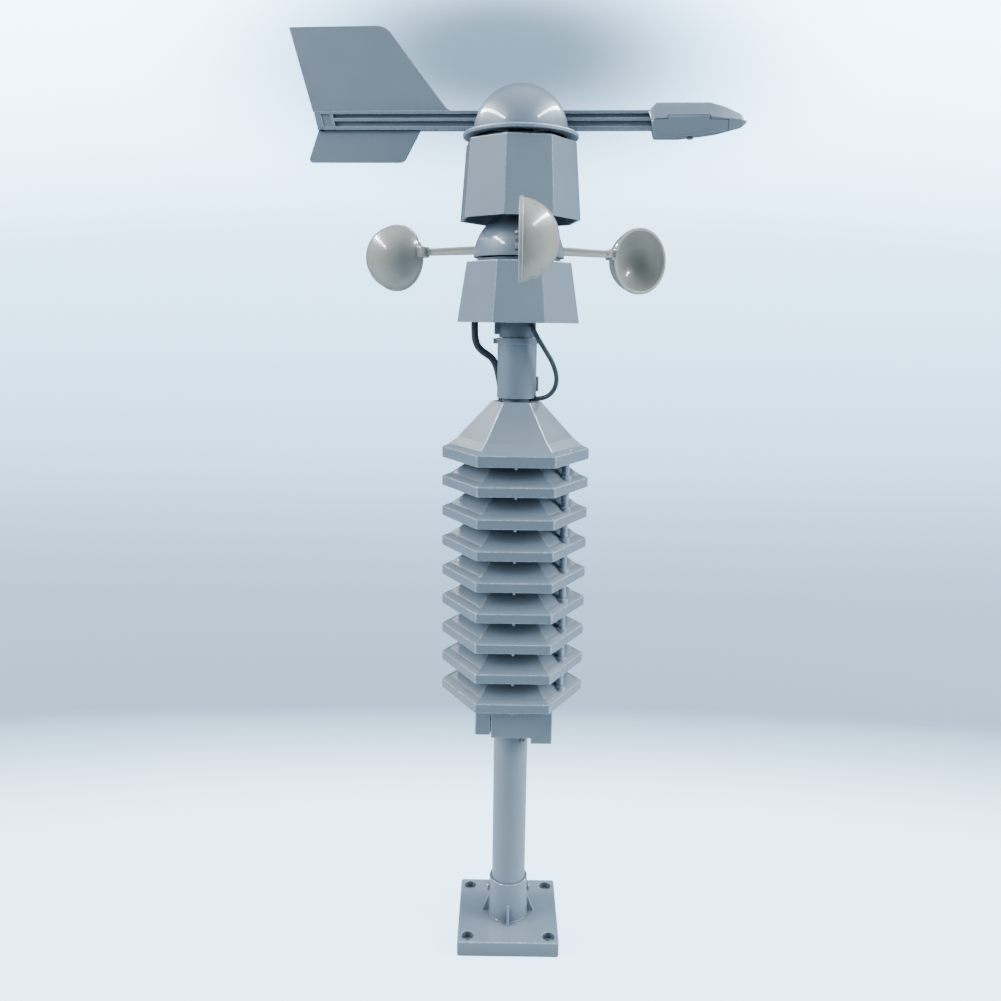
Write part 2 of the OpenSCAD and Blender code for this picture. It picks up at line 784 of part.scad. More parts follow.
module rotor_dome() {
    color(shell_grey)
    difference() {
        union() {
            difference() {
                translate([0, 0, rotor_z]) sphere(r = dome_r);
                translate([0, 0, rotor_z]) sphere(r = dome_r - dome_wall);
            }
            translate([0, 0, rotor_z + rotor_base_t]) cylinder(h = hub_tube_h, r = hub_tube_r);
        }
        translate([0, 0, rotor_z - 50]) cylinder(h = 50, r = 50);
        translate([0, 0, rotor_z - 1]) cylinder(h = 28, r = bushing_r);
        translate([0, 0, rotor_z - 1]) cylinder(h = 40, r = column_r + 0.6);
        for (k = [1:cup_count]) cup_turn(k)
            block([hub_tube_r - 3, -arm_w / 2 - fit, arm_z - 3.1],
                  [dome_r + 1, arm_w / 2 + fit, arm_z + 3.1]);
    }
}

module rotor_magnet() {
    color(steel)
    rotate([0, 0, cup_rest_turn + 60])
        translate([magnet_orbit, 0, rotor_z + rotor_base_t]) cylinder(h = 3, d = 5);
}

module cup_turn(k) {
    rotate([0, 0, cup_rest_turn + (k - 1) * 360 / cup_count]) children();
}

module cup_arm(k) {
    root_x = bushing_r + 0.4;
    tip_x = cup_circle_r - cup_r + 4;
    strap_x = cup_circle_r - cup_r - 4.5;
    color(cup_ivory)
    cup_turn(k)
    difference() {
        union() {
            translate([0, arm_w / 2, arm_z]) rotate([90, 0, 0]) linear_extrude(height = arm_w)
                polygon([[root_x, -3], [tip_x, -2.3], [tip_x, 2.3], [root_x, 3]]);
            block([strap_x, -arm_w / 2, arm_z - 3.8], [tip_x + 3, 6.5, arm_z + 3.8]);
        }
        for (side = [-1, 1]) translate([0, side * arm_w / 2, arm_z])
            block([dome_r + 3, -0.7, -1.1], [strap_x - 3, 0.7, 1.1]);
        translate([cup_circle_r, 0, cup_z]) sphere(r = cup_r + 0.02);
        translate([cup_circle_r, 0, cup_z]) rotate([90, 0, 0])
            translate([0, 0, -3]) cylinder(h = 30, r = cup_r + cup_lip + 0.02);
    }
}

module cup(k) {
    color(cup_ivory)
    cup_turn(k) translate([cup_circle_r, 0, cup_z]) rotate([90, 0, 0])
    difference() {
        union() {
            sphere(r = cup_r);
            translate([0, 0, -2.2]) cylinder(h = 2.2, r = cup_r + cup_lip);
        }
        sphere(r = cup_r - cup_wall);
        cylinder(h = 60, r = 60);
    }
}

// ---------------------------------------------------------------- wind direction sensor

module vane_housing() {
    h = vane_top_z - vane_bottom_z;
    deck_z = h - vane_deck_t;
    color(shell_grey)
    translate([0, 0, vane_bottom_z]) rotate([0, 0, vane_housing_turn])
    difference() {
        union() {
            eight_sided_bell(vane_bottom_af, vane_top_af, h, vane_deck_t, 8);
            translate([0, 0, bearing_boss_z - vane_bottom_z])
                cylinder(h = vane_top_z - bearing_boss_z, r = bearing_boss_r);
            translate([0, 0, deck_z]) cylinder(h = vane_deck_t, r = 12);
            rain_ring(vane_dam_r, h);
            for (turn = [45:90:315]) rotate([0, 0, turn])
                translate([post_orbit, 0, floor_z + floor_t - vane_bottom_z])
                    cylinder(h = deck_z + 1 - (floor_z + floor_t - vane_bottom_z), d = 7);
        }
        for (z = [bearing_boss_z - 1, vane_top_z - bearing_h])
            translate([0, 0, z - vane_bottom_z]) cylinder(h = bearing_h + 1.6, r = bearing_r);
        cylinder(h = 60, r = 4);
        for (turn = [45:90:315]) rotate([0, 0, turn])
            translate([post_orbit, 0, floor_z - vane_bottom_z]) cylinder(h = 11, d = thread_hole_d);
    }
}

module vane_housing_floor() {
    color(shell_grey)
    rotate([0, 0, vane_housing_turn])
    difference() {
        union() {
            translate([0, 0, floor_z]) rotate([0, 0, 22.5])
                cylinder(h = floor_t, r = floor_af / 2 * oct_corner, $fn = 8);
            translate([0, 0, floor_boss_z]) cylinder(h = floor_z - floor_boss_z + 1, r = 8.5);
        }
        translate([0, 0, floor_boss_z - 1])
            cylinder(h = column_top_z - floor_boss_z + 1, r = column_r + 0.02);
        translate([0, 0, floor_z]) cylinder(h = 10, r = column_bore_r);
        for (turn = [45:90:315]) rotate([0, 0, turn])
            translate([post_orbit, 0, floor_z - 1]) cylinder(h = 10, d = 2.8);
    }
}

module direction_board() {
    color(board_green) translate([0, 0, floor_z + floor_t]) cylinder(h = board_t, r = 23.5);
}

module vane_bearings() {
    color(steel)
    for (z = [bearing_boss_z + 0.6, vane_top_z - bearing_h]) translate([0, 0, z])
        difference() {
            cylinder(h = bearing_h, r = bearing_r - 0.01);
            translate([0, 0, -1]) cylinder(h = bearing_h + 2, r = shaft_r + fit);
        }
}

module vane_shaft() {
    color(steel) translate([0, 0, shaft_z]) cylinder(h = shaft_top_z - shaft_z, r = shaft_r);
}

module magnet_carrier() {
    color(black_part)
    translate([0, 0, carrier_z])
    difference() {
        cylinder(h = 1.8, r = carrier_r);
        translate([0, 0, -1]) cylinder(h = 4, r = shaft_r);
        for (turn = [60, 180, 300]) rotate([0, 0, turn]) translate([12, 0, -1]) cylinder(h = 4, r = 4);
    }
}

module vane_magnet() {
    color(steel)
    rotate([0, 0, vane_rest_turn]) translate([reed_orbit, 0, carrier_z + 1.8]) cylinder(h = 2.2, d = 4);
}

module vane_hub() {
    color(shell_grey)
    rotate([0, 0, vane_rest_turn])
    difference() {
        union() {
            difference() {
                union() {
                    translate([0, 0, vane_dome_z]) sphere(r = vane_dome_r);
                    translate([0, 0, brim_z]) cylinder(h = brim_t, d = brim_d);
                }
                translate([0, 0, vane_dome_z]) sphere(r = vane_dome_r - dome_wall);
                translate([0, 0, brim_z - 40]) cylinder(h = 40, r = 50);
                translate([0, 0, brim_z - 1]) cylinder(h = brim_t + 2, r = vane_dome_r - dome_wall - 0.4);
            }
            translate([0, 0, brim_z]) cylinder(h = vane_dome_z + vane_dome_r - 0.6 - brim_z, r = 6);
        }
        translate([0, 0, brim_z - 1]) cylinder(h = shaft_top_z - brim_z + 1.4, r = shaft_r);
        for (side = [-1, 1])
            block([min(side * boom_inner_x, side * 40), -boom_w / 2 - 0.05, boom_bottom_z - 0.05],
                  [max(side * boom_inner_x, side * 40), boom_w / 2 + 0.05, boom_bottom_z + boom_h + 0.05]);
    }
}

// Grooves on both faces of a boom, between its three rails
module boom_grooves(from, to) {
    mid_z = boom_bottom_z + boom_h / 2 + 0.4;
    for (side = [-1, 1]) {
        low_y = side > 0 ? boom_web / 2 : -boom_w;
        high_y = side > 0 ? boom_w : -boom_web / 2;
        block([from, low_y, boom_bottom_z + boom_rail], [to, high_y, mid_z - 1]);
        block([from, low_y, mid_z + 1], [to, high_y, boom_bottom_z + boom_h - boom_rail]);
    }
}

// Shallow recess on both faces of the tail's end, one cell high
module end_cell(from, to) {
    depth = 1;
    for (face_y = [-boom_w / 2, boom_w / 2])
        block([from, face_y - depth, boom_bottom_z + boom_rail],
              [to, face_y + depth, boom_bottom_z + boom_h - boom_rail]);
}

module tail_boom() {
    top_z = boom_bottom_z + boom_h;
    rib_x = tail_top_x + 11;
    color(shell_grey)
    rotate([0, 0, vane_rest_turn])
    difference() {
        translate([0, boom_w / 2, 0]) rotate([90, 0, 0]) linear_extrude(height = boom_w)
            polygon([[tail_bottom_x, boom_bottom_z], [-boom_inner_x, boom_bottom_z],
                     [-boom_inner_x, top_z], [tail_top_x, top_z]]);
        boom_grooves(rib_x, -vane_dome_r + 1);
        end_cell(tail_top_x + 4.4, rib_x - 1.8);
    }
}

module fin_plate(outline) {
    translate([0, fin_t / 2, 0]) rotate([90, 0, 0]) linear_extrude(height = fin_t) polygon(outline);
}

module tail_fins() {
    top_z = boom_bottom_z + boom_h;
    color(shell_grey)
    rotate([0, 0, vane_rest_turn]) {
        // Upper fin: leaning back edge, rounded top corner, long slope down to the boom
        fin_plate(concat(
            [[-136.4, top_z], [-150.5, 641.4]],
            arc(-93.5, 629.3, 12.5, 90, 35.5),
            arc(-42.5, 599.3, 8.9, 215.5, 270, 5)));
        // Lower fin, its two lower corners rounded
        fin_plate(concat(
            [[-133, boom_bottom_z]],
            arc(-137.2, 561, 2.2, 165, 262, 4),
            arc(-79.2, 563.8, 5, 270, 329, 5),
            [[-65.2, boom_bottom_z]]));
    }
}

module nose_boom() {
    color(shell_grey)
    rotate([0, 0, vane_rest_turn])
    difference() {
        block([boom_inner_x, -boom_w / 2, boom_bottom_z],
              [nose_boom_end, boom_w / 2, boom_bottom_z + boom_h]);
        boom_grooves(vane_dome_r - 1, nose_groove_end);
    }
}

// Streamlined body: the side outline crossed with a narrowing plan and soft long edges
module nose_body(inset) {
    half = nose_w / 2 - inset;
    plan = [[78, -half * 0.82], [88, -half], [118, -half], [134, -half * 0.72], [143.4 - inset, -half * 0.3]];
    intersection() {
        translate([0, nose_w, 0]) rotate([90, 0, 0]) linear_extrude(height = 2 * nose_w)
            offset(delta = -inset) polygon(nose_outline);
        linear_extrude(height = 700)
            polygon(concat(plan, [for (i = [len(plan) - 1:-1:0]) [plan[i][0], -plan[i][1]]]));
        translate([0, 0, nose_axis_z]) rotate([0, 90, 0])
            linear_extrude(height = 200) scale([1.04, 1]) rotate([0, 0, 22.5])
                circle(r = (nose_w * 0.76 - inset) * oct_corner, $fn = 8);
    }
}

// The region below the stepped seam
module below_seam(gap) {
    block([70, -20, 560], [seam_end_x - gap, 20, seam_low_z - gap]);
    block([seam_step_x[0] + gap, -20, 560], [seam_step_x[1] - gap, 20, seam_high_z - gap]);
}

module nose_hollow() {
    nose_body(1.6);
    block([75, -boom_w / 2 - 0.1, boom_bottom_z - 0.1],
          [nose_boom_end + 0.5, boom_w / 2 + 0.1, boom_bottom_z + boom_h + 0.1]);
}

module nose_upper_shell() {
    color(shell_grey)
    rotate([0, 0, vane_rest_turn])
    difference() {
        nose_body(0);
        nose_hollow();
        below_seam(0);
    }
}

module nose_lower_shell() {
    color(shell_grey)
    rotate([0, 0, vane_rest_turn])
    difference() {
        intersection() {
            nose_body(0);
            below_seam(0.1);
        }
        nose_hollow();
        translate([nose_screw_x, 0, 560]) cylinder(h = 30, d = thread_hole_d);
    }
}

module nose_weight() {
    color(steel)
    rotate([0, 0, vane_rest_turn])
    difference() {
        translate([nose_weight_x, 0, nose_axis_z]) rotate([0, 90, 0]) cylinder(h = nose_weight_len, d = 9);
        translate([nose_screw_x, 0, nose_screw_z]) cylinder(h = 8, d = thread_hole_d);
    }
}

module nose_screw() {
    color(steel)
    rotate([0, 0, vane_rest_turn]) translate([nose_screw_x, 0, nose_screw_z])
        rotate([180, 0, 0]) pan_screw(2.5, 6, 4.2, 0.8);
}

// ---------------------------------------------------------------- leads

module wind_speed_cable() {
    color(cable_grey) swept_tube(speed_lead_route, speed_lead_d, lead_sides);
}

module wind_direction_cable() {
    color(cable_grey) swept_tube(vane_lead_route, vane_lead_d, lead_sides);
}

foot_plate();
foot_set_screws();
pole();
pole_lock_screw();
transmitter_box();
transmitter_lid();
battery_door();
batteries();
battery_contacts();
door_contact_plate();
transmitter_board();
sensor_guard();
humidity_sensor();
for (k = [1:louvre_count])
    louvre(k);
spacer_sleeves();
tie_rods();
tie_rod_nuts();
shield_cap();
cable_grommet();
mast_post();
sensor_neck();
speed_housing();
housing_screws();
wind_speed_board();
reed_switches();
support_column();
rotor_bushings();
rotor_base();
rotor_dome();
rotor_magnet();
for (k = [1:cup_count]) {
    cup_arm(k);
    cup(k);
}
vane_housing();
vane_housing_floor();
direction_board();
vane_bearings();
vane_shaft();
magnet_carrier();
vane_magnet();
vane_hub();
tail_boom();
tail_fins();
nose_boom();
nose_upper_shell();
nose_lower_shell();
nose_weight();
nose_screw();
wind_speed_cable();
wind_direction_cable();
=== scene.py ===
import json
import math

import bmesh
import bpy
from mathutils import Matrix, Vector


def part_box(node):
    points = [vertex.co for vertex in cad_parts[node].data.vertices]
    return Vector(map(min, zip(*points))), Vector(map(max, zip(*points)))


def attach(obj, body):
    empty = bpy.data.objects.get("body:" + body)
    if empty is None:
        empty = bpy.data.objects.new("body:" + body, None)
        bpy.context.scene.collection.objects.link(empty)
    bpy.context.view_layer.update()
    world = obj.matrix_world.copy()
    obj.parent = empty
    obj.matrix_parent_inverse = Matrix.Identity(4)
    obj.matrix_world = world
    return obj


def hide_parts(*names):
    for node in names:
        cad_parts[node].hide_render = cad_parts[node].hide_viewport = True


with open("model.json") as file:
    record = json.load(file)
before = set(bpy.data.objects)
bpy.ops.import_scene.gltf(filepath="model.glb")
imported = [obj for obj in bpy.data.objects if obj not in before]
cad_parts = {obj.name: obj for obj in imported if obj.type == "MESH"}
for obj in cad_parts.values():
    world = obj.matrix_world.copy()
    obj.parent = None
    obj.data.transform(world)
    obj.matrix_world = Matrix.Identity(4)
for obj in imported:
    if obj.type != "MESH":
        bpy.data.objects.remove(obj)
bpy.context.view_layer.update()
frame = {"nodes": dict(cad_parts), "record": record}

# Up to the stage, lengths are in millimetres; mesh_from turns them into metres
MM = 0.001

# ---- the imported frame

BODIES = frame["record"]["behaviour"]["bodies"]
BODY_OF = {node: body for body, nodes in BODIES.items() for node in nodes}
SLOT_OF = {name: node.data.materials[0].name.split(".")[0] for name, node in frame["nodes"].items()}


def low(node):
    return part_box(node)[0] / MM


def high(node):
    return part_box(node)[1] / MM


def heights(node):
    return low(node).z, high(node).z


# ---- outlines

# The largest rounding of a polygon's corners, as a share of its radius
LARGEST_ROUNDING = 0.3
# Keeps a very sharp corner from flying off when an outline is moved inwards
LEAST_COSINE = 0.4


def polar(radius, degrees):
    turn = math.radians(degrees)
    return Vector((radius * math.cos(turn), radius * math.sin(turn)))


def circle(radius, count=96):
    return [polar(radius, 360 * i / count) for i in range(count)]


def polygon(corner_r, sides, round_r, turn=0.0, steps=4):
    """Regular polygon with round corners; corner_r is measured to the sharp corner."""
    half = 180 / sides
    round_r = min(round_r, corner_r * LARGEST_ROUNDING)
    centre_r = corner_r - round_r / math.cos(math.radians(half))
    outline = []
    for k in range(sides):
        middle = turn + 2 * half * k
        for j in range(steps + 1):
            outline.append(polar(centre_r, middle) + polar(round_r, middle + half * (2 * j / steps - 1)))
    return outline


def fillet(corners, steps=4):
    """Outline through corners (x, y, radius), each rounded to its radius."""
    outline = []
    for i, (x, y, radius) in enumerate(corners):
        here = Vector((x, y))
        if radius == 0:
            outline.append(here)
            continue
        before = (Vector(corners[i - 1][:2]) - here).normalized()
        after = (Vector(corners[(i + 1) % len(corners)][:2]) - here).normalized()
        half = before.angle(after) / 2
        centre = here + (before + after).normalized() * radius / math.sin(half)
        reach = radius / math.tan(half)
        start = (here + before * reach - centre).normalized()
        end = (here + after * reach - centre).normalized()
        outline += [centre + start.slerp(end, step / steps) * radius for step in range(steps + 1)]
    return outline


def arc(x, y, radius, start, end, steps=8):
    return [Vector((x, y)) + polar(radius, start + (end - start) * i / steps) for i in range(steps + 1)]


def rectangle(x0, y0, x1, y1, round_r):
    return fillet([(x0, y0, round_r), (x1, y0, round_r), (x1, y1, round_r), (x0, y1, round_r)])


def inset(outline, amount):
    """The outline moved inwards by amount along its corner bisectors."""
    area = sum(a.cross(b) for a, b in zip(outline, outline[1:] + outline[:1]))
    side = 1 if area > 0 else -1
    moved = []
    for i, here in enumerate(outline):
        back = (here - outline[i - 1]).normalized()
        ahead = (outline[(i + 1) % len(outline)] - here).normalized()
        bisector = (back + ahead).normalized()
        normal = Vector((-bisector.y, bisector.x)) * side
        moved.append(here + normal * amount / max(LEAST_COSINE, bisector.dot(ahead)))
    return moved


# ---- solids

# How much rounder a brick's upright edges are than its upper and lower ones
UPRIGHT_ROUNDING = 1.4
# Points closer than this, in metres, are joined, and shorter edges are dissolved
WELD = 1e-7
SHORTEST_EDGE = 1e-8


def loft(rings, closed=False):
    """Surface through rings of equal length, with end faces unless the last ring joins the first."""
    count = len(rings[0])
    verts = [point for ring in rings for point in ring]
    faces = []
    for i in range(len(rings) if closed else len(rings) - 1):
        a = i * count
        b = (i + 1) % len(rings) * count
        for j in range(count):
            k = (j + 1) % count
            faces.append((a + j, a + k, b + k, b + j))
    if not closed:
        faces.append(tuple(range(count))[::-1])
        faces.append(tuple(range(len(verts) - count, len(verts))))
    return verts, faces


def revolve(profile, outline=circle, closed=True):
    """Each profile point (radius, height) becomes one outline of that radius at that height."""
    return loft([[Vector((p.x, p.y, z)) for p in outline(max(r, 0.0))] for r, z in profile], closed)


def pin(radius, z0, z1, sides=96):
    """Plain cylinder along z."""
    profile = [(0, z0), (radius, z0), (radius, z1), (0, z1)]
    return revolve(profile, lambda r: circle(r, sides), closed=False)


def slab(outline, thickness, round_r, steps=3):
    """Plate whose outline lies in x and y and whose thickness, centred, is along z, with round edges."""
    half = thickness / 2
    turns = [math.pi / 2 * i / steps for i in range(steps + 1)]
    lower = [(round_r * (1 - math.sin(t)), -half + round_r * (1 - math.cos(t))) for t in turns]
    levels = lower + [(amount, -z) for amount, z in reversed(lower)]
    return loft([[Vector((p.x, p.y, z)) for p in inset(outline, amount)] for amount, z in levels])


def brick(corner, opposite, round_r):
    """Block between two corners, with round edges."""
    x0, y0, z0 = corner
    x1, y1, z1 = opposite
    solid = slab(rectangle(x0, y0, x1, y1, round_r * UPRIGHT_ROUNDING), z1 - z0, round_r)
    return placed(solid, shift(z=(z0 + z1) / 2))


def sweep(route, diameter, sides=20, steps=4):
    """Tube along a smooth curve through the route's points."""
    points = [Vector(p) for p in route]
    line = []
    for i in range(len(points) - 1):
        p0 = points[max(i - 1, 0)]
        p1 = points[i]
        p2 = points[i + 1]
        p3 = points[min(i + 2, len(points) - 1)]
        for step in range(steps):
            t = step / steps
            line.append(0.5 * (2 * p1 + (p2 - p0) * t + (2 * p0 - 5 * p1 + 4 * p2 - p3) * t ** 2
                               + (3 * p1 - p0 - 3 * p2 + p3) * t ** 3))
    line.append(points[-1])
    rings = []
    side = Vector((1, 0, 0))
    for i, here in enumerate(line):
        along = (line[min(i + 1, len(line) - 1)] - line[max(i - 1, 0)]).normalized()
        side = (side - along * side.dot(along)).normalized()
        other = along.cross(side)
        rings.append([here + side * p.x + other * p.y for p in circle(diameter / 2, sides)])
    return loft(rings)


def placed(solid, *matrices):
    """The solid moved by each matrix in turn."""
    verts, faces = solid
    for matrix in matrices:
        verts = [matrix @ v for v in verts]
    return verts, faces


def shift(x=0.0, y=0.0, z=0.0):
    return Matrix.Translation((x, y, z))


def turned(degrees, axis="Z"):
    return Matrix.Rotation(math.radians(degrees), 4, axis)


# A slab's outline then lies in x and z, and its thickness along y
UPRIGHT = turned(90, "X")


def copies(solid, turns):
    """The solid turned about the z axis, once for each angle."""
    return [placed(solid, turned(turn)) for turn in turns]


def outwards(turn, radius, z):
    """Points a solid's z axis outwards from the mast's axis."""
    return turned(turn) @ shift(radius, 0, z) @ turned(90, "Y")


def mesh_from(name, solids):
    mesh = bpy.data.meshes.new(name)
    build = bmesh.new()
    for verts, faces in solids:
        made = [build.verts.new(v * MM) for v in verts]
        for face in faces:
            build.faces.new([made[i] for i in face])
    bmesh.ops.remove_doubles(build, verts=build.verts, dist=WELD)
    bmesh.ops.dissolve_degenerate(build, edges=build.edges, dist=SHORTEST_EDGE)
    stray = [edge for edge in build.edges if not edge.link_faces]
    bmesh.ops.delete(build, geom=stray, context="EDGES")
    bmesh.ops.recalc_face_normals(build, faces=build.faces)
    build.to_mesh(mesh)
    build.free()
    return mesh


def add_object(name, data):
    thing = bpy.data.objects.new(name, data)
    bpy.context.scene.collection.objects.link(thing)
    return thing


def carve(solid, *cutters):
    """The solid with each cutter taken away."""
    target = add_object("target", mesh_from("target", [solid]))
    tools = []
    for cutter in cutters:
        tools.append(add_object("tool", mesh_from("tool", [cutter])))
        cut = target.modifiers.new("cut", "BOOLEAN")
        cut.operation = "DIFFERENCE"
        cut.solver = "EXACT"
        cut.object = tools[-1]
    result = target.evaluated_get(bpy.context.evaluated_depsgraph_get()).to_mesh()
    verts = [v.co / MM for v in result.vertices]
    faces = [tuple(p.vertices) for p in result.polygons]
    for thing in [target] + tools:
        bpy.data.objects.remove(thing)
    return verts, faces


# Faces wider than this are not part of an edge rounding
EDGE_MARK_WIDTH = 0.55 * MM
# The bend between a rounding's faces at which the painted edge highlight and rub start and are full, and past
# which there are none
EDGE_MARK_FROM = math.radians(6)
EDGE_MARK_FULL = math.radians(14)
EDGE_MARK_UP_TO = math.radians(45)
# Faces that meet at more than this are shaded with a crease
SHARP_ANGLE = math.radians(36)


def mark_edge_highlight_and_rub(mesh):
    """Stores how much painted edge highlight and rub each vertex gets: 1 inside a narrow convex edge
    rounding, 0 on a face.
    """
    build = bmesh.new()
    build.from_mesh(mesh)
    wide = {
        face for face in build.faces
        if face.calc_area() / max(edge.calc_length() for edge in face.edges) > EDGE_MARK_WIDTH
    }
    edge_mark = [0.0] * len(build.verts)
    for vert in build.verts:
        if any(face in wide for face in vert.link_faces):
            continue
        shared = [edge for edge in vert.link_edges if len(edge.link_faces) == 2]
        sharpest = max(edge.calc_face_angle_signed(0.0) for edge in shared)
        if sharpest < EDGE_MARK_UP_TO:
            edge_mark[vert.index] = max(0.0, min(1.0, (sharpest - EDGE_MARK_FROM) / (EDGE_MARK_FULL - EDGE_MARK_FROM)))
    build.free()
    attribute = mesh.attributes.new("edge_mark", "FLOAT", "POINT")
    attribute.data.foreach_set("value", edge_mark)


def make_piece(node, solids):
    """A visible piece that stands for one CAD node, with its slot and body."""
    mesh = mesh_from(f"{node}_visual", solids)
    # The edge mask for the painted edge highlight and the rub
    mark_edge_highlight_and_rub(mesh)
    mesh.polygons.foreach_set("use_smooth", [True] * len(mesh.polygons))
    mesh.set_sharp_from_angle(angle=SHARP_ANGLE)
    mesh.materials.append(MATERIALS[SLOT_OF[node]])
    piece = add_object(f"{node}_visual", mesh)
    normals = piece.modifiers.new("normals", "WEIGHTED_NORMAL")
    normals.keep_sharp = True
    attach(piece, BODY_OF[node])
    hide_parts(node)


# ---- materials

# A colour Mix node's sockets: its two colours and its result
MIX_FIRST = 6
MIX_SECOND = 7
MIX_RESULT = 2

# Texture scales, in features per metre
BLOTCH_SCALE = 38
FLECK_SCALE = BLOTCH_SCALE * 9
GLOSS_SCALE = BLOTCH_SCALE * 2.5
EDGE_BREAKUP_SCALE = 420
# Blotches and gloss, as shares of a finish's own colour and roughness
BLOTCH_DARK = 0.972
BLOTCH_LIGHT = 1.022
GLOSSIEST = 0.82
DULLEST = 1.18
# Roughness added where an edge is rubbed
RUB = 0.06
COAT_ROUGHNESS = 0.05
# The parts of a noise's range, and of openness, over which a finish changes
SOFT = (0.3, 0.7)
CRISP = (0.35, 0.65)
EDGE_BREAKUP = (0.42, 0.62)
LEAST_EDGE_BREAKUP = 0.25
OPENNESS = (0.2, 0.78)
# In metres; surfaces this close to a point darken it with painted shade
RELIEF_DEPTH = 0.0004
BLEED_DEPTH = 0.004
SHADE_REACH = 0.03


def new_material(name):
    material = bpy.data.materials.new(name)
    material.use_nodes = True
    return material, material.node_tree, material.node_tree.nodes["Principled BSDF"]


def set_inputs(node, values):
    for socket, value in values.items():
        node.inputs[socket].default_value = value


def scaled_place(tree, scale):
    """The object's own coordinates, scaled along each axis."""
    place = tree.nodes.new("ShaderNodeTexCoord")
    mapping = tree.nodes.new("ShaderNodeMapping")
    mapping.inputs["Scale"].default_value = scale
    tree.links.new(place.outputs["Object"], mapping.inputs["Vector"])
    return mapping.outputs["Vector"]


def noise(tree, scale, detail, stretch=(1, 1, 1)):
    """Noise in the piece's own coordinates; scale is in features per metre."""
    texture = tree.nodes.new("ShaderNodeTexNoise")
    set_inputs(texture, {"Scale": scale, "Detail": detail})
    tree.links.new(scaled_place(tree, stretch), texture.inputs["Vector"])
    return texture.outputs["Fac"]


def spread(tree, source, from_low, from_high, to_low, to_high, curve="LINEAR"):
    """A value mapped from one range onto another."""
    node = tree.nodes.new("ShaderNodeMapRange")
    node.interpolation_type = curve
    set_inputs(node, {"From Min": from_low, "From Max": from_high, "To Min": to_low, "To Max": to_high})
    tree.links.new(source, node.inputs["Value"])
    return node.outputs["Result"]


def mixed(tree, factor, first, second):
    """Two colours mixed; each is a colour or a socket."""
    node = tree.nodes.new("ShaderNodeMix")
    node.data_type = "RGBA"
    tree.links.new(factor, node.inputs["Factor"])
    for socket, value in ((node.inputs[MIX_FIRST], first), (node.inputs[MIX_SECOND], second)):
        if isinstance(value, bpy.types.NodeSocket):
            tree.links.new(value, socket)
        else:
            socket.default_value = (*value, 1)
    return node.outputs[MIX_RESULT]


def shade(colour, factor):
    return tuple(min(1.0, c * factor) for c in colour)


def product(tree, first, second):
    """Two values multiplied; the second is a number or a socket."""
    node = tree.nodes.new("ShaderNodeMath")
    node.operation = "MULTIPLY"
    tree.links.new(first, node.inputs[0])
    if isinstance(second, bpy.types.NodeSocket):
        tree.links.new(second, node.inputs[1])
    else:
        node.inputs[1].default_value = second
    return node.outputs[0]


def blotched(tree, colour):
    """The colour in soft blotches, broken up by finer flecks of the plain colour."""
    large = spread(tree, noise(tree, BLOTCH_SCALE, 3), *SOFT, 0, 1)
    small = spread(tree, noise(tree, FLECK_SCALE, 4), *CRISP, 0, 1)
    blotches = mixed(tree, large, shade(colour, BLOTCH_DARK), shade(colour, BLOTCH_LIGHT))
    return mixed(tree, small, blotches, colour)


def painted_recess_shade(tree, base, shade_colour):
    """The base going over to a darker colour in recesses, as painted shade."""
    recess = tree.nodes.new("ShaderNodeAmbientOcclusion")
    recess.samples = 6
    recess.inputs["Distance"].default_value = SHADE_REACH
    openness = spread(tree, recess.outputs["AO"], *OPENNESS, 0, 1)
    return mixed(tree, openness, shade_colour, base)


def highlight_and_rub_amount(tree):
    """How much painted edge highlight and rub a point gets: the mesh's edge mask, broken up by noise."""
    edge_mark = tree.nodes.new("ShaderNodeAttribute")
    edge_mark.attribute_name = "edge_mark"
    breakup = spread(tree, noise(tree, EDGE_BREAKUP_SCALE, 5), *EDGE_BREAKUP, LEAST_EDGE_BREAKUP, 1)
    return product(tree, edge_mark.outputs["Fac"], breakup)


def uneven_roughness(tree, roughness, highlight_and_rub):
    """Roughness that drifts over the surface and rises where it is rubbed."""
    drift = noise(tree, GLOSS_SCALE, 4)
    gloss = spread(tree, drift, *SOFT, roughness * GLOSSIEST, roughness * DULLEST)
    total = tree.nodes.new("ShaderNodeMath")
    total.operation = "MULTIPLY_ADD"
    tree.links.new(highlight_and_rub, total.inputs[0])
    total.inputs[1].default_value = RUB
    tree.links.new(gloss, total.inputs[2])
    return total.outputs[0]


def fine_relief(tree, strength, grain, stretch):
    """The normal of a fine moulded or brushed texture."""
    relief = tree.nodes.new("ShaderNodeBump")
    set_inputs(relief, {"Strength": strength, "Distance": RELIEF_DEPTH})
    tree.links.new(noise(tree, grain, 2, stretch), relief.inputs["Height"])
    return relief.outputs["Normal"]


def finish_of(name, colour, roughness, bump=0.05, grain=2600, coat=0.0, metallic=0.0, edge_highlight=1.12,
              subsurface=0.0, stretch=(1, 1, 1), recess_shade=1.0):
    """A finish with blotches, grain, uneven gloss, edges rougher and paled by a painted highlight, and
    recesses darkened by painted shade.

    The edge and recess arguments give the brightness of the painted edge highlight and of the painted shade
    in recesses, as shares of the colour.
    """
    material, tree, shader = new_material(name)
    base = blotched(tree, colour)
    # Painted shade: recesses go darker by ambient occlusion
    if recess_shade < 1:
        base = painted_recess_shade(tree, base, shade(colour, recess_shade))
    # Painted highlight: convex edges go paler; the same mask makes them rougher where rubbed
    highlight_and_rub = highlight_and_rub_amount(tree)
    tree.links.new(mixed(tree, highlight_and_rub, base, shade(colour, edge_highlight)), shader.inputs["Base Color"])
    tree.links.new(uneven_roughness(tree, roughness, highlight_and_rub), shader.inputs["Roughness"])
    tree.links.new(fine_relief(tree, bump, grain, stretch), shader.inputs["Normal"])
    set_inputs(shader, {"Metallic": metallic, "Coat Weight": coat, "Coat Roughness": COAT_ROUGHNESS,
                        "Subsurface Weight": subsurface, "Subsurface Radius": (1, 1, 1),
                        "Subsurface Scale": BLEED_DEPTH})
    return material


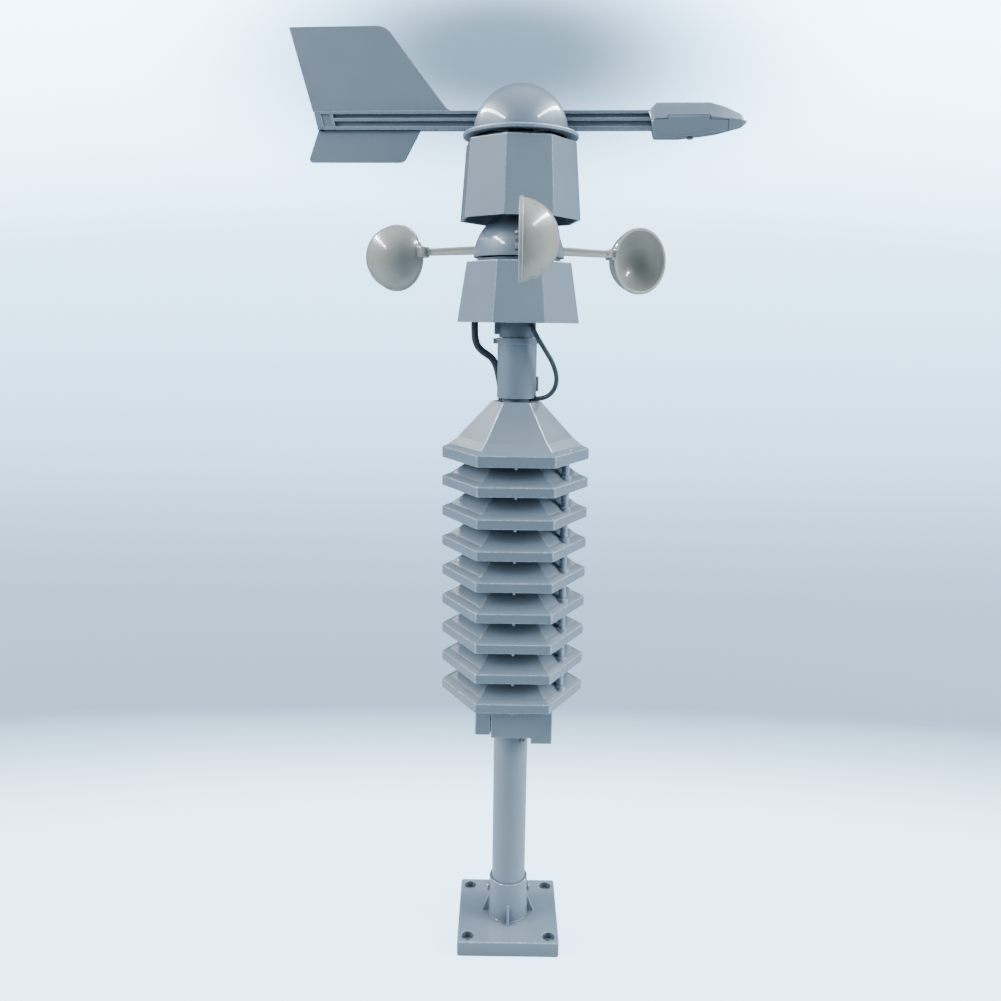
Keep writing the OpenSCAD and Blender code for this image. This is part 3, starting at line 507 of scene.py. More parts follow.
SHELL_GREY = (0.25, 0.335, 0.43)
CUP_IVORY = (0.46, 0.48, 0.465)
STEEL = (0.30, 0.33, 0.36)
CELL_BLUE = (0.05, 0.13, 0.27)
BOARD_GREEN = (0.02, 0.13, 0.06)
REED_GREEN = (0.25, 0.5, 0.45)
BRASS = (0.62, 0.43, 0.14)
BLACK = (0.02, 0.022, 0.025)
CABLE_GREY = (0.055, 0.075, 0.095)
# Each finish's edges are paled by a painted highlight
MATERIALS = {
    # The grey shell's recesses are darkened by painted shade
    "grey_plastic": finish_of("moulded_grey", SHELL_GREY, 0.38, coat=0.8, edge_highlight=1.9, recess_shade=0.42),
    "ivory_plastic": finish_of("moulded_ivory", CUP_IVORY, 0.32, coat=0.8, subsurface=0.6, edge_highlight=1.35),
    "steel": finish_of("steel", STEEL, 0.36, metallic=1.0, edge_highlight=1.3, stretch=(1, 1, 12)),
    "cell_jacket": finish_of("cell_jacket", CELL_BLUE, 0.28, coat=0.5),
    "circuit_board": finish_of("circuit_board", BOARD_GREEN, 0.35, coat=0.3, grain=900),
    "reed_glass": finish_of("reed_glass", REED_GREEN, 0.08, coat=0.6),
    "bushing_brass": finish_of("bushing_brass", BRASS, 0.3, metallic=1.0, edge_highlight=1.2),
    "black_plastic": finish_of("moulded_black", BLACK, 0.4, edge_highlight=2.0),
    "cable_jacket": finish_of("cable_jacket", CABLE_GREY, 0.38, bump=0.12, grain=700, edge_highlight=1.6),
}

# ---- screws and tubes

SCREW_SIDES = 40
HOLE_SIDES = 48
# A screw head's crown and cross recess, as shares of its height and width
CROWN_SHARE = 0.55
RECESS_SHARE = 0.3
RECESS_FLOOR = 0.4
RECESS_HALF_W = 0.35
# How far a cutter for a hole reaches above the surface
CUT_PAST = 5


def pan_screw(shank_d, shank_len, head_d, head_h):
    """Pan-head screw along z, its head's underside at 0, with a cross recess."""
    profile = fillet([(0, -shank_len, 0), (shank_d / 2, -shank_len, 0.3), (shank_d / 2, 0, 0),
                      (head_d / 2, 0, 0.12), (head_d / 2, head_h, head_h * CROWN_SHARE), (0, head_h, 0)])
    bar = brick((-head_d * RECESS_SHARE, -RECESS_HALF_W, head_h * RECESS_FLOOR),
                (head_d * RECESS_SHARE, RECESS_HALF_W, head_h + 1), 0.08)
    return carve(revolve(profile, lambda r: circle(r, SCREW_SIDES), closed=False), *copies(bar, (0, 90)))


def tube(outer_r, inner_r, z0, z1, round_r):
    corners = [(inner_r, z0), (outer_r, z0), (outer_r, z1), (inner_r, z1)]
    return revolve(fillet([(r, z, round_r) for r, z in corners]))


def hole(radius, z0, z1, flare):
    """Cutter for a round hole whose upper edge, at z1, is eased."""
    profile = [(0, z0), (radius, z0), (radius, z1 - flare)]
    profile += [(p.x, p.y) for p in arc(radius + flare, z1 - flare, flare, 180, 90, 4)]
    profile += [(radius + flare, z1 + CUT_PAST), (0, z1 + CUT_PAST)]
    return revolve(profile, lambda r: circle(r, HOLE_SIDES), closed=False)


# ---- foot and pole

POLE_R = high("pole").x
POLE_WALL = 1.8
POLE_SEAT_Z = 5
FOOT_TOP_Z = 12
FOOT_HOLE_AT = 30
FOOT_HOLE_R = 2.5
COUNTERBORE_R = 4.7
COUNTERBORE_Z = FOOT_TOP_Z - 5
# How much wider a bore is than the part in it
SLIP_FIT = 0.05
SOCKET_R = POLE_R + 2.5
SOCKET_RIM_R = POLE_R + 1.8
RIB_ROOT_R = POLE_R + 1.2
RIB_T = 1.8
RIB_TOP_Z = FOOT_TOP_Z + 13.6
SCREW_HOLE_R = 1.5
SET_SCREW_Z = 32
SET_SCREW_R = 14.6
LOCK_SCREW_TURN = -48
LOCK_SCREW_Z = 158.5


def foot_socket():
    """Tapering ring around the pole's end, with a hole for each set screw."""
    rim_z = high("foot_plate").z
    bore_r = POLE_R + SLIP_FIT
    flare_r = SOCKET_R + 0.7
    root_z = FOOT_TOP_Z - 3
    socket = revolve(fillet([(bore_r, root_z, 0), (flare_r, root_z, 0), (flare_r, FOOT_TOP_Z, 0),
                             (SOCKET_R - 0.05, FOOT_TOP_Z, 0.5), (SOCKET_RIM_R, rim_z, 0.5),
                             (bore_r, rim_z, 0.4)]))
    screw_hole = hole(SCREW_HOLE_R, 0, 2, 0.2)
    holes = [placed(screw_hole, outwards(turn, SET_SCREW_R - 2, SET_SCREW_Z)) for turn in (0, 180)]
    return carve(socket, *holes)


def foot_ribs():
    root_z = FOOT_TOP_Z - 2
    outline = fillet([(RIB_ROOT_R, root_z, 0), (SOCKET_R + 5.4, root_z, 0),
                      (SOCKET_R + 4.6, FOOT_TOP_Z + 0.8, 0.7), (SOCKET_R - 0.2, RIB_TOP_Z, 0.7),
                      (RIB_ROOT_R, RIB_TOP_Z, 0)])
    return copies(placed(slab(outline, RIB_T, 0.4), UPRIGHT), range(0, 360, 90))


def foot():
    half = high("foot_plate").x
    plate = slab(rectangle(-half, -half, half, half, 2), FOOT_TOP_Z, 0.9, steps=4)
    plate = placed(plate, shift(z=FOOT_TOP_Z / 2))
    cutters = [pin(POLE_R + SLIP_FIT, POLE_SEAT_Z, FOOT_TOP_Z + 8)]
    for x in (-FOOT_HOLE_AT, FOOT_HOLE_AT):
        for y in (-FOOT_HOLE_AT, FOOT_HOLE_AT):
            cutters.append(placed(hole(FOOT_HOLE_R, -2, COUNTERBORE_Z, 0.2), shift(x, y)))
            cutters.append(placed(hole(COUNTERBORE_R, COUNTERBORE_Z, FOOT_TOP_Z, 0.45), shift(x, y)))
    make_piece("foot_plate", [carve(plate, *cutters), foot_socket()] + foot_ribs())
    screw = pan_screw(2.9, 2, 5.4, 1.7)
    screws = [placed(screw, outwards(turn, SET_SCREW_R, SET_SCREW_Z)) for turn in (0, 180)]
    make_piece("foot_set_screws", screws)


def pole():
    body = tube(POLE_R, POLE_R - POLE_WALL, *heights("pole"), 0.5)
    screw_hole = hole(SCREW_HOLE_R, 0, 2, 0.25)
    body = carve(body, placed(screw_hole, outwards(LOCK_SCREW_TURN, POLE_R - 2, LOCK_SCREW_Z)))
    make_piece("pole", [body])
    screw = placed(pan_screw(2.8, 5, 4.6, 1.4), outwards(LOCK_SCREW_TURN, POLE_R + SLIP_FIT, LOCK_SCREW_Z))
    make_piece("pole_lock_screw", [screw])


# ---- transmitter box

BOX_WALL = 1.5
# The right end of the box hangs lower than the rest, from BOX_STEP_X on
BOX_STEP_X = 14
BOX_STEP_H = 4.2
DOOR_PLUG_LEN = 3.4
DOOR_GAP = 0.3


def transmitter():
    left = low("transmitter_box").x
    right = high("transmitter_box").x
    half = high("transmitter_box").y
    top = high("transmitter_box").z
    bottom = high("pole").z + 0.2
    step_z = bottom - BOX_STEP_H
    split = high("battery_door").x - DOOR_PLUG_LEN + DOOR_GAP
    bay_top = high("battery_door").z
    roof_z = bay_top + 0.4
    side = fillet([(split, bottom, 0.8), (BOX_STEP_X, bottom, 0.6), (BOX_STEP_X, step_z, 0.9),
                   (right, step_z, 1.1), (right, top, 0.8), (left, top, 0.8),
                   (left, roof_z, 0.8), (split, roof_z, 0.4)])
    case = placed(slab(side, 2 * half, 0.7), UPRIGHT)
    inner = half - BOX_WALL
    bay = brick((split - 5, -inner, bottom + BOX_WALL), (right - BOX_WALL, inner, bay_top - BOX_WALL), 0.6)
    attic = brick((left + BOX_WALL, -inner, bay_top + 1.3), (right - BOX_WALL, inner, top + 3), 0.6)
    plug_r = POLE_R - POLE_WALL - SLIP_FIT
    plug = tube(plug_r, plug_r - 2.2, low("transmitter_box").z, bottom + 0.4, 0.4)
    make_piece("transmitter_box", [carve(case, bay, attic), plug])


def lid_ear(z0, z1):
    """Tongue of the lid that a tie rod goes through."""
    reach = ROD_R + 3
    outline = fillet([(20, -3, 0), (reach, -3, 2.9), (reach, 3, 2.9), (20, 3, 0)], steps=8)
    tongue = placed(slab(outline, z1 - z0, 0.3), shift(z=(z0 + z1) / 2))
    return carve(tongue, placed(hole(ROD_HOLE_R, z0 - 1, z1, 0.2), shift(ROD_R)))


def transmitter_lid():
    z0, z1 = heights("transmitter_lid")
    left = low("transmitter_box").x
    right = high("transmitter_box").x
    half = high("transmitter_box").y
    plate = placed(slab(rectangle(left, -half, right, half, 1.2), z1 - z0, 0.35), shift(z=(z0 + z1) / 2))
    # One hole for the probe and one for each lead: x, y, radius
    openings = ((0, 0, 4.5), (12, 8, 1.9), (-12, 8, 2.7))
    holes = [placed(pin(r, z0 - 1, z1 + 1), shift(x, y)) for x, y, r in openings]
    ears = copies(lid_ear(z0, z1), ROD_TURNS)
    make_piece("transmitter_lid", [carve(plate, *holes)] + ears)


def battery_door():
    x0 = low("battery_door").x
    x1 = high("battery_door").x
    z0, z1 = heights("battery_door")
    seam = x1 - DOOR_PLUG_LEN
    half = high("transmitter_box").y
    cap = brick((x0, -half, z0), (seam, half, z1), 0.9)
    plug = brick((seam - 1, -half + 1.8, z0 + 1.5), (x1, half - 1.8, z1 - 1.8), 0.4)
    pocket = brick((x0 + BOX_WALL, -half + 3, z0 + 3), (x1 + 3, half - 3, z1 - 3), 0.5)
    make_piece("battery_door", [carve(cap, pocket), carve(plug, pocket)])


# ---- radiation shield

ROD_TURNS = (-30, 150)
ROD_R = 39
ROD_HOLE_R = 1.55
BOSS_R = 4
SLEEVE_R = 2.6
# A louvre's bosses, above and below the upper edge of its rim
BOSS_RISE = 4.6
BOSS_DROP = 1.6
LOUVRES = [f"louvre_{k}" for k in range(1, 9)]
LOUVRE_R = high("louvre_1").x
LOUVRE_PEAK = 13.5
LOUVRE_WALL = 1.8
LOUVRE_RIM_H = 6.6
RIM_T = 2.1
CAP_RIM_H = 7.5
CAP_H = 32
# Corner radii and heights up the slope, above the upper edge of the rim
LOUVRE_SLOPE = ((45, 2.3), (28.5, LOUVRE_PEAK))
CAP_SLOPE = ((46, 2.3), (40, 7.3), (17, CAP_H))
LOUVRE_OPENING_R = 26.5
CAP_OPENING_R = 12.2
# Small pips hang under the middle of the front and back rims
PIP_DROP = 1.3
PIP_HALF_W = 0.8
PIP_HALF_D = 0.7
LEAD_HOLE_R = 3.75


def hexagon(corner_r):
    return polygon(corner_r, 6, 1.6)


def hex_shell(rim_h, slope, opening_r):
    """Six-sided shell whose rim's upper edge is at 0."""
    last_r, last_z = slope[-1]
    outer = [(LOUVRE_R, -rim_h, 0.75), (LOUVRE_R, 0, 0.85)] + [(r, z, 1.2) for r, z in slope[:-1]]
    crest = [(last_r, last_z, 0.7), (opening_r, last_z, 0.5), (opening_r, last_z - LOUVRE_WALL, 0.5)]
    under = [(r - 0.4, z - LOUVRE_WALL, 0.8) for r, z in reversed(slope)]
    rim = [(LOUVRE_R - RIM_T, -LOUVRE_WALL, 0.6), (LOUVRE_R - RIM_T, -rim_h, 0.45)]
    return revolve(fillet(outer + crest + under + rim), hexagon)


def rim_pips(rim_h):
    middle_r = LOUVRE_R * math.cos(math.radians(30)) - 0.8
    return [brick((-PIP_HALF_W, y - PIP_HALF_D, -rim_h - PIP_DROP),
                  (PIP_HALF_W, y + PIP_HALF_D, -rim_h + 0.5), 0.25) for y in (-middle_r, middle_r)]


def rod_bosses(z0, z1):
    profile = fillet([(ROD_HOLE_R, z0, 0), (BOSS_R, z0, 0.3), (BOSS_R, z1, 0.4), (ROD_HOLE_R, z1, 0.2)])
    return copies(placed(revolve(profile, lambda r: circle(r, HOLE_SIDES)), shift(ROD_R)), ROD_TURNS)


def louvres():
    solids = [hex_shell(LOUVRE_RIM_H, LOUVRE_SLOPE, LOUVRE_OPENING_R)]
    solids += rim_pips(LOUVRE_RIM_H) + rod_bosses(-BOSS_DROP, BOSS_RISE)
    for node in LOUVRES:
        rim_z = high(node).z - LOUVRE_PEAK
        make_piece(node, [placed(solid, shift(z=rim_z)) for solid in solids])


def shield_cap():
    top = high("shield_cap").z
    rim_z = top - CAP_H
    shell = placed(hex_shell(CAP_RIM_H, CAP_SLOPE, CAP_OPENING_R), shift(z=rim_z))
    lead_hole = placed(pin(LEAD_HOLE_R, -12, 2, HOLE_SIDES), shift(*GROMMET_PLACE, top))
    boss = tube(13, 10.05, top - 19, top - 0.1, 0.3)
    details = [placed(solid, shift(z=rim_z)) for solid in rim_pips(CAP_RIM_H) + rod_bosses(-3.4, 2)]
    make_piece("shield_cap", [carve(shell, lead_hole), carve(boss, lead_hole)] + details)


def rods():
    rims = [high(node).z - LOUVRE_PEAK for node in LOUVRES]
    ends = [high("spacer_sleeves").z] + [z - BOSS_DROP for z in rims[:-1]]
    sleeves = []
    for rim_z, end in zip(rims, ends):
        sleeve = tube(SLEEVE_R, ROD_HOLE_R, rim_z + BOSS_RISE, end, 0.25)
        sleeves += copies(placed(sleeve, shift(ROD_R)), ROD_TURNS)
    make_piece("spacer_sleeves", sleeves)
    z0, z1 = heights("tie_rod_nuts")
    profile = fillet([(ROD_HOLE_R, z0, 0.2), (2.9, z0, 0), (3.15, z0 + 0.35, 0.1), (3.15, z1, 0.1),
                      (ROD_HOLE_R, z1, 0)])
    nut = placed(revolve(profile, lambda r: polygon(r, 6, 0.12, steps=2)), shift(ROD_R))
    make_piece("tie_rod_nuts", copies(nut, ROD_TURNS))


# ---- post, neck and leads

GROMMET_PLACE = (-10, 16)
POST_R = 13.35
POST_SEAT_GAP = 2.3
COLLAR_R = POST_R + 0.85
COLLAR_H = 4
# The direction lead comes out of the neck and goes into the post's foot at these turns
NECK_EXIT_TURN = -61
NOTCH_TURN = -16
NECK_R = 12.5
NECK_PLUG_R = 10.45
NECK_SHOULDER_Z = 447.3
NECK_FLANGE_Z = 490
NECK_FLANGE_R = 18
COLUMN_SOCKET_R = 5.02
COLUMN_FOOT_Z = 478
LEAD_WAY_R = 8
SPEED_LEAD_D = 4.8
VANE_LEAD_D = 3.2


def mast_post():
    bottom, top = heights("mast_post")
    foot_z = high("shield_cap").z + POST_SEAT_GAP
    collar_z = top - COLLAR_H
    outer = [(10, bottom, 0.6), (10, foot_z, 0.3), (POST_R, foot_z, 0.6), (POST_R, collar_z, 0.25),
             (COLLAR_R, collar_z, 0.35), (COLLAR_R, top, 0.5)]
    bore = [(10.5, top, 0.4), (10.5, top - 20, 0), (LEAD_WAY_R, top - 20, 0.3), (LEAD_WAY_R, bottom, 0.4)]
    notch = placed(brick((5, -2.1, foot_z - 3.5), (16, 2.1, foot_z + 2.6), 0.5), turned(NOTCH_TURN))
    tab = brick((-16.4, -2.5, collar_z), (-12, 2.5, top - 0.4), 0.4)
    latch = brick((12, -2, foot_z + 4.5), (POST_R + 1.6, 2, foot_z + 14.5), 0.4)
    make_piece("mast_post", [carve(revolve(fillet(outer + bore)), notch), tab, latch])


def sensor_neck():
    bottom, deck = heights("sensor_neck")
    outer = [(NECK_PLUG_R, bottom, 0.4), (NECK_PLUG_R, NECK_SHOULDER_Z, 0.2), (NECK_R, NECK_SHOULDER_Z, 0.4),
             (NECK_R, NECK_FLANGE_Z, 1.0), (NECK_FLANGE_R, NECK_FLANGE_Z, 0.4), (NECK_FLANGE_R, deck, 0.2)]
    bore = [(COLUMN_SOCKET_R, deck, 0), (COLUMN_SOCKET_R, COLUMN_FOOT_Z, 0.2),
            (LEAD_WAY_R, COLUMN_FOOT_Z, 0.3), (LEAD_WAY_R, bottom, 0.4)]
    way_out = pin(2.8, -8, 8, SCREW_SIDES)
    way_out = placed(way_out, turned(124, "Y"), turned(NECK_EXIT_TURN), shift(4.5, -10.5, 463))
    lug = brick((-15.7, -3, 449.2), (-11, 3, 460), 0.5)
    make_piece("sensor_neck", [carve(revolve(fillet(outer + bore)), way_out), lug])


# The middle line of each lead, from its board in the sensor head to the transmitter's board
SPEED_LEAD = [
    (-29, 2, 491.4), (-29, 2, 480), (-29, 2, 469), (-29, 2, 460), (-29, 2, 453),
    (-28.6, 2.2, 446.5), (-27, 3, 441.5), (-24, 4.5, 438), (-20.5, 7, 435.5),
    (-17, 10, 432.5), (-14.5, 12.6, 428), (-12.8, 14.4, 422), (-11.4, 15.6, 415),
    (-10.4, 16, 408), (-10, 16, 401), (-10, 16, 394), (-10.2, 15, 385), (-11, 12.5, 376),
    (-12, 9.5, 367), (-12, 8, 357), *((-12, 8, z) for z in range(343, 222, -15)),
    (-12, 8, 209), (-12, 8, 197.3),
]
VANE_LEAD = [
    (0, 0, 545.2), *((0, 0, z) for z in range(534, 485, -12)),
    (0, 0, 477), (0.5, -2, 471), (2, -6, 466.5), (4.3, -10.2, 463), (6.6, -13.8, 459),
    (9.2, -15.8, 454.5), (12.2, -16.4, 449), (15.6, -16, 443.5), (19.2, -15.2, 438),
    (22.6, -14, 432.5), (25.2, -12.6, 426.5), (26.4, -11, 421), (26, -9.4, 416),
    (24, -7.9, 411.6), (20.8, -6.4, 408.6), (17, -4.9, 407), (13, -3.7, 406.6),
    (9.8, -2.8, 406.5), (7.8, -2.2, 405.7), (6.1, -1.7, 404.1), (4.8, -1.4, 401.8),
    (4.1, -1.2, 399), (3.8, -1.1, 395), (3.8, -1.1, 388), (4.4, -0.4, 380),
    (7, 2.6, 372), (10.4, 6.4, 364.5), (12, 8, 356), *((12, 8, z) for z in range(346, 219, -14)),
    (12, 8, 208), (12, 8, 197.3),
]


def leads():
    make_piece("wind_speed_cable", [sweep(SPEED_LEAD, SPEED_LEAD_D)])
    make_piece("wind_direction_cable", [sweep(VANE_LEAD, VANE_LEAD_D)])
    z0, z1 = heights("cable_grommet")
    profile = fillet([(2.6, z0, 0.3), (3.7, z0, 0.4), (3.7, z1, 1.0), (2.6, z1, 0.1)])
    ring = revolve(profile, lambda r: circle(r, HOLE_SIDES))
    make_piece("cable_grommet", [placed(ring, shift(*GROMMET_PLACE))])


# ---- wind speed sensor

# The low ring on each housing's deck that keeps rain out: outer and inner radius, and height
SPEED_DAM = (27.6, 25.6)
VANE_DAM = (28.2, 26.2)
DAM_H = 2.2
SPEED_DECK_Z = 496
SPEED_DECK_T = 3
VANE_DECK_Z = 570.8
VANE_DECK_T = 2.8
DECK_HOLE_R = 8
# An octagon's corner radius over the radius of its flats
OCTAGON_CORNER = 1 / math.cos(math.radians(22.5))
SHELL_WALL = 2.2
ROTOR_Z = 499
ROTOR_DOME_R = 30
DOME_WALL = 1.8
CUP_TURNS = (-91, 29, 149)
CUP_CIRCLE_R = 101
CUP_R = 22.7
CUP_WALL = 1.4
CUP_SIDES = 128
CUP_Z = 501.5
# How far the lip around a cup's opening stands proud, and how wide it is
CUP_LIP = 0.58
CUP_LIP_W = 2.2
ARM_Z = 505
ARM_W = 4.6
ARM_ROOT_R = 8.4
ARM_TIP_R = CUP_CIRCLE_R - CUP_R + 4
BRACKET_R = CUP_CIRCLE_R - CUP_R - 4.5
BRACKET_HALF_H = 3.8
GROOVE_START_R = 33
GROOVE_HALF_H = 1.1
GROOVE_DEPTH = 0.7


def bell(bottom_af, top_af, z0, z1, deck_t):
    """Tapering eight-sided shell, open below and with a flat deck; sizes are across the flats."""
    bottom_r = bottom_af / 2 * OCTAGON_CORNER
    top_r = top_af / 2 * OCTAGON_CORNER
    wall = SHELL_WALL * OCTAGON_CORNER
    deck_z = z1 - deck_t
    corners = [(bottom_r, z0, 0.5), (top_r, z1, 1.1), (DECK_HOLE_R, z1, 0.3), (DECK_HOLE_R, deck_z, 0.3),
               (top_r - wall, deck_z, 1.5), (bottom_r - wall, z0, 0.5)]
    return revolve(fillet(corners), lambda r: polygon(r, 8, 1.3, turn=22.5))


def speed_housing():
    shell = bell(80, 68, low("speed_housing").z, SPEED_DECK_Z, SPEED_DECK_T)
    ring = tube(12, 5.05, SPEED_DECK_Z - SPEED_DECK_T, SPEED_DECK_Z - 0.02, 0.2)
    dam = tube(*SPEED_DAM, SPEED_DECK_Z - 0.5, SPEED_DECK_Z + DAM_H, 0.3)
    make_piece("speed_housing", [shell, ring, dam])


def climb(radius, height):
    """The angle up a circle of this radius at this height above its centre."""
    return math.degrees(math.asin(height / radius))


def open_dome_profile(radius, wall, base_z, opening_r):
    """Closed profile of a thin half dome with a round opening at its top."""
    inner = radius - wall
    top = math.degrees(math.acos(opening_r / radius))
    top_inner = math.degrees(math.acos(opening_r / inner))
    return arc(0, base_z, radius, 0, top, 28) + arc(0, base_z, inner, top_inner, 0, 28)


def rotor_dome():
    shell = revolve(open_dome_profile(ROTOR_DOME_R, DOME_WALL, ROTOR_Z, 5.6))
    half_w = ARM_W / 2 + 0.15
    slot = brick((7, -half_w, ARM_Z - 3.2), (ROTOR_DOME_R + 1, half_w, ARM_Z + 3.2), 0.3)
    slots = copies(slot, CUP_TURNS)
    hub = tube(10, 8, ROTOR_Z + 1.8, ROTOR_Z + 27.3, 0.3)
    make_piece("rotor_dome", [carve(shell, *slots), carve(hub, *slots)])


def cup_shell():
    """Thin half sphere with a lip, its opening facing down local z."""
    lip_r = CUP_R + CUP_LIP
    inner_r = CUP_R - CUP_WALL
    lip = fillet([(inner_r, 0, 0.35), (lip_r, 0, 0.4), (lip_r, CUP_LIP_W, 0.45),
                  (CUP_R - 0.12, CUP_LIP_W + 0.1, 0.15), (inner_r, 4, 0)])[:-1]
    outside = arc(0, 0, CUP_R, climb(CUP_R, 2.9), 90, 34)
    inside = arc(0, 0, inner_r, 90, climb(inner_r, 0.5), 36)
    return revolve(lip + outside + inside, lambda r: circle(r, CUP_SIDES))


def cup_room():
    """The same shape filled, and longer below, to trim an arm where the cup is."""
    lip_r = CUP_R + CUP_LIP
    profile = [Vector((0, -8)), Vector((lip_r, -8)), Vector((lip_r, CUP_LIP_W))]
    profile += arc(0, 0, CUP_R, climb(CUP_R, CUP_LIP_W), 90, 30)
    return revolve(profile, closed=False)


# Lays a cup on its side, so that its opening faces round the circle
CUP_POSE = turned(-90, "X")


def cup_arm():
    """Arm along x, grooved at both sides, with the bracket that holds the cup."""
    outline = [(ARM_ROOT_R, -3), (ARM_TIP_R, -2.3), (ARM_TIP_R, 2.3), (ARM_ROOT_R, 3)]
    bar = slab(fillet([(x, y, 0.6) for x, y in outline]), ARM_W, 0.5)
    bar = placed(bar, UPRIGHT, shift(z=ARM_Z))
    grooves = []
    for side in (-1, 1):
        y = side * ARM_W / 2
        grooves.append(brick((GROOVE_START_R, y - GROOVE_DEPTH, ARM_Z - GROOVE_HALF_H),
                             (BRACKET_R - 3, y + GROOVE_DEPTH, ARM_Z + GROOVE_HALF_H), 0.3))
    bracket = brick((BRACKET_R, -ARM_W / 2, ARM_Z - BRACKET_HALF_H),
                    (ARM_TIP_R + 3, 6.5, ARM_Z + BRACKET_HALF_H), 0.9)
    room = placed(cup_room(), shift(CUP_CIRCLE_R, 0, CUP_Z) @ CUP_POSE)
    return [carve(bar, room, *grooves), carve(bracket, room)]


def cups():
    cup = cup_shell()
    arm = cup_arm()
    for k, turn in enumerate(CUP_TURNS, 1):
        spot = turned(turn) @ shift(CUP_CIRCLE_R, 0, CUP_Z) @ CUP_POSE
        make_piece(f"cup_{k}", [placed(cup, spot)])
        make_piece(f"cup_arm_{k}", [placed(solid, turned(turn)) for solid in arm])


# ---- wind direction sensor

VANE_TURN = -4
VANE_HOUSING_TURN = 8
BRIM_R = 37.5
BRIM_T = 2.6
VANE_DOME_R = 31
VANE_DOME_Z = 575.4
# The boom and the nose are drawn along x and turned with the vane
BOOM_W = 6
BOOM_Z0 = 578.7
BOOM_H = 11.7
BOOM_TOP = BOOM_Z0 + BOOM_H
BOOM_RAIL = 2.1
BOOM_WEB = 2
BOOM_INNER_X = 8
BOOM_SLOT_GAP = 0.25
TAIL_TOP_X = -135.4
TAIL_BOTTOM_X = -132.8
TAIL_CELL_LEN = 10
NOSE_BOOM_END_X = 97
FIN_T = 2


def vane_housing():
    shell = bell(75.5, 68, low("vane_housing").z, VANE_DECK_Z, VANE_DECK_T)
    boss = tube(9, 5.5, 553.4, VANE_DECK_Z - 0.02, 0.3)
    dam = tube(*VANE_DAM, VANE_DECK_Z - 0.5, VANE_DECK_Z + DAM_H, 0.3)
    make_piece("vane_housing", [placed(shell, turned(VANE_HOUSING_TURN)), boss, dam])


def boom_slots():
    """Cutters for the boom's way through the dome at both sides."""
    half_w = BOOM_W / 2 + BOOM_SLOT_GAP
    z0 = BOOM_Z0 - BOOM_SLOT_GAP
    z1 = BOOM_TOP + BOOM_SLOT_GAP
    return [brick((x0, -half_w, z0), (x1, half_w, z1), 0.3) for x0, x1 in ((-40, -20), (20, 40))]


def vane_hub():
    z0 = low("vane_hub").z
    brim_top = z0 + BRIM_T
    fillet_top = brim_top + 0.9
    inner_r = VANE_DOME_R - DOME_WALL
    brim = fillet([(inner_r - 0.4, z0, 0.4), (BRIM_R, z0, 0.8), (BRIM_R, brim_top, 1.2),
                   (VANE_DOME_R + 0.9, brim_top, 0)])
    outside = arc(0, VANE_DOME_Z, VANE_DOME_R, climb(VANE_DOME_R, fillet_top - VANE_DOME_Z), 90, 34)
    inside = arc(0, VANE_DOME_Z, inner_r, 90, climb(inner_r, brim_top - VANE_DOME_Z), 30)
    shell = carve(revolve(brim + outside + inside), *boom_slots())
    hub = tube(6, 2.5, z0, VANE_DOME_Z + VANE_DOME_R - 2, 0.3)
    make_piece("vane_hub", [placed(shell, turned(VANE_TURN)), hub])


def boom_rails(outline, from_x, to_x, mid_from_x):
    """Three rails and the thin web between them; outline is the whole boom seen from the side."""
    mid = BOOM_Z0 + BOOM_H / 2 + 0.4
    solids = [slab(inset(outline, 0.05), BOOM_WEB, 0.2)]
    for z0, z1 in ((BOOM_Z0, BOOM_Z0 + BOOM_RAIL), (BOOM_TOP - BOOM_RAIL, BOOM_TOP)):
        solids.append(slab(rectangle(from_x, z0, to_x, z1, 0.45), BOOM_W, 0.4))
    solids.append(slab(rectangle(mid_from_x, mid - 1, to_x, mid + 1, 0.45), BOOM_W - 0.3, 0.4))
    return solids


def upright(solids):
    return [placed(solid, UPRIGHT, turned(VANE_TURN)) for solid in solids]


def leaning_bar(x, width, lean):
    """Bar across the boom, as slanted as the tail's end."""
    outline = fillet([(x, BOOM_Z0, 0.4), (x + width, BOOM_Z0, 0.4), (x + width + lean, BOOM_TOP, 0.4),
                      (x + lean, BOOM_TOP, 0.4)])
    return slab(outline, BOOM_W, 0.4)


def tail_boom():
    """Boom whose tail end is closed by two bars with a shallow cell between them."""
    start = TAIL_BOTTOM_X + 1
    cell_end = TAIL_BOTTOM_X + TAIL_CELL_LEN
    lean = TAIL_TOP_X - TAIL_BOTTOM_X
    outline = fillet([(TAIL_BOTTOM_X, BOOM_Z0, 0.3), (-BOOM_INNER_X, BOOM_Z0, 0.3),
                      (-BOOM_INNER_X, BOOM_TOP, 0.3), (TAIL_TOP_X, BOOM_TOP, 0.3)])
    solids = boom_rails(outline, start, -BOOM_INNER_X, cell_end)
    solids.append(slab(rectangle(start, BOOM_Z0 + 0.6, cell_end, BOOM_TOP - 0.6, 0.3), BOOM_WEB + 2.2, 0.2))
    solids.append(leaning_bar(TAIL_BOTTOM_X, 4.4, lean))
    solids.append(leaning_bar(TAIL_BOTTOM_X + TAIL_CELL_LEN + 0.4, 1.8, lean))
    make_piece("tail_boom", upright(solids))


def tail_fins():
    """Upper and lower fin; each outline runs round its corners from the boom to the boom."""
    upper = [Vector((-136.4, BOOM_TOP)), Vector((-150.5, 640.6))]
    upper += arc(-149.7, 640.6, 0.8, 180, 90, 3)
    upper += arc(-93.5, 629.3, 12.5, 90, 35.5) + arc(-42.5, 599.3, 8.9, 215.5, 270, 5)
    lower = [Vector((-133, BOOM_Z0))] + arc(-137.2, 561, 2.2, 165, 262, 4) + arc(-79.2, 563.8, 5, 270, 329, 5)
    lower.append(Vector((-65.2, BOOM_Z0)))
    make_piece("tail_fins", upright([slab(upper, FIN_T, 0.55), slab(lower, FIN_T, 0.55)]))


